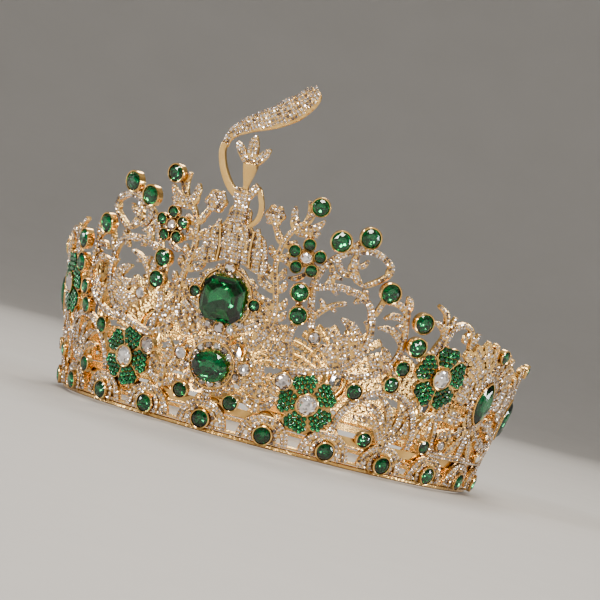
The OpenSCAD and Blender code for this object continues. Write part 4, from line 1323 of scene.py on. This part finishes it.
def figure_work():
    """The small figure: a lobed skirt, a bodice, three crest petals and a swept plume."""
    rails, field = Rails(), Field(11)
    bodice = smooth([(0.1, 67.0), (0, 70.6), (-0.1, 74.0), (-0.15, 77.4), (-0.05, 78.8)], 3)
    girth = eased(bodice, [(0, 5.6), (0.3, 4.7), (0.55, 5.2), (0.85, 6.2), (1, 4.0)])
    set_bar(rails, field, bodice, girth, 2.45, 0.35)
    for a0, z0, a1, z1, width, front in LOBES:
        aside = 0.2 if a1 > 0 else -0.2
        path = smooth([(a0, z0), ((a0 + a1) / 2 + aside, (z0 + z1) / 2), (a1, z1)], 4)
        widths = [width * (0.8 + 0.2 * i / 4 if i < 4 else 1.12 - 0.16 * (i - 3)) for i in range(len(path))]
        set_bar(rails, field, path, widths, front, 0.35)
    field.inside(closed(BELL, 3), 1.5)
    sleeve = smooth([(0.9, 76.8), (1.8, 78.9), (2.7, 80.7)], 3)
    rails.add(sleeve, 2.8, 2.4, 0.5)
    field.along(sleeve, [2.4] * len(sleeve), 2.4)
    for row in CREST:
        add_leaf(rails, field, row, 0, 2.2, 0.6)
    plume = smooth([(-5.9, 90.6), (-5.4, 93.6), (-3.9, 96.3), (-1.0, 99.3), (2.7, 102.4), (6.1, 106.3),
                    (8.4, 110.4), (9.8, 113.6)], 4)
    breadth = eased(plume, [(0, 2.2), (0.14, 2.8), (0.29, 3.8), (0.43, 5.4), (0.57, 7.0), (0.71, 7.8),
                            (0.86, 6.8), (0.94, 5.2), (0.98, 3.6), (1, 2.0)])
    rails.add(plume, breadth, 1.3, 0.3)
    raised = [off(a, z, -0.12 * width / 2, 0.12 * width / 2) for (a, z), width in zip(plume, breadth)]
    field.along(raised, [0.88 * width for width in breadth], 1.3)
    return rails, field


def skirt_bell():
    """The bell behind the skirt's lobes."""
    shells = Shells()
    shells.plate(closed(BELL, 3), 1.5, 0.4)
    return shells


def figure_limbs():
    """Plain polished parts of the figure: neck, smooth drop-shaped head, arms and skirt wires."""
    rails = Rails()
    neck = smooth([(0.05, 78.2), (0.1, 79.4), (0.12, 80.8)], 4)
    rails.add(neck, [2.0 - 0.02 * i for i in range(len(neck))], 2.2, 0.6)
    head = smooth([(0.12, 79.9), (0.16, 81.6), (0.2, 83.4), (0.24, 85.2), (0.26, 86.7), (0.26, 87.5)], 4)
    bulk = eased(head, [(0, 1.8), (0.2, 2.7), (0.45, 3.9), (0.7, 4.8), (0.88, 4.9), (1, 3.2)])
    rails.add(head, bulk, [1.5 + 0.36 * b for b in bulk], [1.5 - 0.28 * b for b in bulk])
    right = smooth([(2.6, 80.4), (3.3, 78.4), (4.0, 75.2), (4.1, 72.2), (3.4, 69.6), (2.2, 67.8)], 4)
    rails.add(right, rounded([1.8] * len(right)), 2.1, 0.5)
    left = smooth([(-0.9, 76.0), (-3.3, 79.0), (-5.2, 83.8), (-6.1, 88.6), (-5.9, 91.6)], 5)
    rails.add(left, widths_along(left, 2.9, 2.1), 2.1, 0.4)
    for low, middle, high in ((4.2, 3.7, 3.7), (-3.0, -2.9, -3.5)):
        rails.add(smooth([(low, 55.2), (middle, 60), (high, 66.4)], 4), 0.8, 2.55, 1.0)
    return rails


def add_bars(name, rails, finish, sides=10, **more):
    finished(name, grown(name, rails.mesh(name), BARS, Material=finish, Sides=sides), SHARP, **more)


def add_small_stones(name, field):
    finished(name, grown(name, field.mesh(name), SMALL_STONE_TREE, Material=PAVE), slot="clear_stone")
    claws = grown(name + "_claws", point_mesh(name + "_claws", field.claws()), SMALL_STONE_TREE,
                  Material=GOLD, Facets=4, Table=0.5, Crown=1.0)
    finished(name + "_claws", claws)


def add_stones(name, shape, rows, nodes, slot="green_stone"):
    glass, back = (CLEAR_GLASS, SILVER_FOIL) if slot == "clear_stone" else (GREEN_GLASS, GREEN_FOIL)
    mesh = grown(name, point_mesh(name, rows), STONE_TREE, Shape=shape, Material=glass, Foil=back)
    finished(name, mesh, slot=slot, replaces=nodes)


def build_gold():
    for name, (rails, field), node in (
            ("arch_bars", arch_work(), "arch_band"), ("front_bars", front_work(), "front_filigree"),
            ("side_bars", side_work(), "side_filigree"), ("figure_bars", figure_work(), "finial_figure")):
        add_bars(name, rails, CAST_GOLD, replaces=(node,))
        add_small_stones(name.replace("bars", "pave"), field)
    add_bars("polished_wires", wires(), GOLD, slot="polished_gold")
    add_bars("pointed_bezels", bezels(), GOLD, slot="polished_gold")
    add_bars("figure_limbs", figure_limbs(), GOLD, slot="polished_gold")
    finished("petal_plates", plates().mesh("petal_plates", CAST_GOLD), SHARP)
    finished("skirt_bell", skirt_bell().mesh("skirt_bell", CAST_GOLD), SHARP)
    finished("stone_backs", behind_stones(BACK_RINGS).mesh("stone_backs", BACK_FOIL), 20)
    collars = behind_stones(COLLAR_RINGS, True).mesh("back_collars", GOLD)
    finished("back_collars", collars, SHARP, slot="polished_gold")


def numbered(name, rows):
    return ["%s_%d" % (name, i + 1) for i in range(len(rows))]


def seated(kind, rows):
    """The round stones of a kind, each on its seat and turned further than the one before."""
    lift, share, thickness, step, _ = SEATS[kind]
    return [upright(a, z, SEAT + share * r + lift, (r, r, thickness * r), step * i)
            for i, (a, z, r) in enumerate(rows)]


def cupped(kind, rows):
    """The cups that hold them."""
    lift, share, _, _, depth = SEATS[kind]
    return [upright(a, z, SEAT + share * r + lift, (r, r, depth)) for a, z, r in rows]


def petal_stones():
    """Rows of small green stones on the large flowers' petals."""
    stones = []
    for side in (1, -1):
        for a, z, reach, turn in FLOWERS:
            size = reach / PETAL_LENGTH
            for i, t in enumerate(petal_turns(turn)):
                for u, row in PETAL_ROWS:
                    for v in row:
                        across, up = turned(u, v, t)
                        place = off(side * a, z, side * size * across, size * up)
                        radius = PETAL_STONE * size
                        stones.append(upright(*place, SEAT + 0.3, (radius,) * 3, 31 * i + 47 * v))
    return stones


def build_stones():
    cut, cup = brilliant("round_cut"), cup_shape("stone_cup")
    rows = {
        "top": both(TOP_STONES),
        "rim": both(SMALL_STONES) + FLOWER_STONES + [(a, top, 2.3) for a, _, _, top in MEDALLIONS],
        "arch": [(a, ARCH_STONE_HEIGHT, ARCH_STONE) for a in arch_angles()],
        "clear": both(CLEAR_STONES) + CENTRE_CLEAR_STONES + [
            (a, z, SMALL_FLOWER_CENTRE) for a, z, *_ in both(SMALL_FLOWERS)] + [
            (a, z, FLOWER_CENTRE) for a, z, *_ in both(FLOWERS)]}
    nodes = {
        "top": numbered("top_stone", rows["top"]), "rim": ["rim_stones"], "arch": ["arch_stones"],
        "clear": ["clear_stone_field"]}
    for kind in rows:
        slot = "clear_stone" if kind == "clear" else "green_stone"
        add_stones(kind + "_stones_cut", cut, seated(kind, rows[kind]), nodes[kind], slot)
    add_stones("petal_stones_cut", cut, petal_stones(), ["petal_stones"], "petal_green")
    medallions = [upright(a, z, SEAT, (1, 1, 1)) for a, _, z, _ in MEDALLIONS]
    add_stones("medallion_stones_cut", pointed_cut("pointed_cut"), medallions,
               numbered("medallion_stone", MEDALLIONS))
    cushion = upright(0, CUSHION[2], SEAT + 1.9, (CUSHION[0],) * 3)
    add_stones("cushion_stone_cut", cushion_cut("cushion_cut"), [cushion], ["cushion_stone"])
    oval = upright(0, OVAL[2], SEAT + 1.5, (OVAL[0], OVAL[0], 4.6))
    add_stones("oval_stone_cut", brilliant("oval_cut", 1.0, OVAL[1] / OVAL[0], 10), [oval], ["oval_stone"])
    cups = [place for kind in ("top", "rim", "clear", "arch") for place in cupped(kind, rows[kind])]
    mesh = grown("stone_cups", point_mesh("stone_cups", cups), CUP_TREE, Shape=cup, Material=GOLD)
    finished("stone_cups", mesh, SHARP, slot="polished_gold")
    for spare in (cut, cup):
        bpy.data.objects.remove(spare)


def build_ring():
    """The cast ring and the polished rail are right as they are and only get their finish."""
    for name, finish in (("base_ring", CAST_GOLD), ("inner_rail", GOLD)):
        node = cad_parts[name]
        node.data.materials.clear()
        node.data.materials.append(finish)


def build_stage():
    """A pale round floor that sweeps up into a plain backdrop on every side."""
    low = cad_box[0].z - FLOOR_GAP
    section = [(0.05, low), (0.8, low), (FLOOR_REACH, low)]
    section += [(FLOOR_REACH + FLOOR_SWEEP * sin(t), low + FLOOR_SWEEP * (1 - cos(t)))
                for t in (radians(9 * i) for i in range(1, 11))]
    shells = Shells()
    shells.rings([[Vector((r * cos(t), r * sin(t), z)) for t in around(96)] for r, z in section])
    floor = added("floor", shells.mesh("floor", stage_paint()))


def add_lamp(name, azimuth, elevation, distance, size, power, colour):
    """A round lamp that many degrees round from the front and above the floor."""
    turn, rise = radians(azimuth), radians(elevation)
    lamp = bpy.data.lights.new(name, "AREA")
    lamp.shape = "DISK"
    lamp.size = size
    lamp.energy = power
    lamp.color = colour
    made = added(name, lamp)
    made.location = (
        distance * sin(turn) * cos(rise), -distance * cos(turn) * cos(rise), distance * sin(rise))
    made.rotation_euler = (LAMPS_FACE - made.location).to_track_quat("-Z", "Y").to_euler()


def build_light():
    world = bpy.data.worlds.new("studio")
    world.use_nodes = True
    background = world.node_tree.nodes["Background"]
    background.inputs["Color"].default_value = SKY
    background.inputs["Strength"].default_value = SKY_STRENGTH
    bpy.context.scene.world = world
    for row in LAMPS:
        add_lamp(*row)


def build_camera():
    data = bpy.data.cameras.new("camera")
    data.lens = CAMERA_LENS
    data.sensor_width = 36
    camera = added("camera", data)
    turn = radians(CAMERA_AZIMUTH)
    camera.location = (CAMERA_DISTANCE * sin(turn), -CAMERA_DISTANCE * cos(turn), CAMERA_HEIGHT)
    look = (Vector(AIM) - camera.location).to_track_quat("-Z", "Y")
    camera.rotation_mode = "QUATERNION"
    camera.rotation_quaternion = look @ Quaternion((0, 0, 1), radians(CAMERA_ROLL))
    bpy.context.scene.camera = camera


build_camera()
build_ring()
build_gold()
build_stones()
build_stage()
build_light()
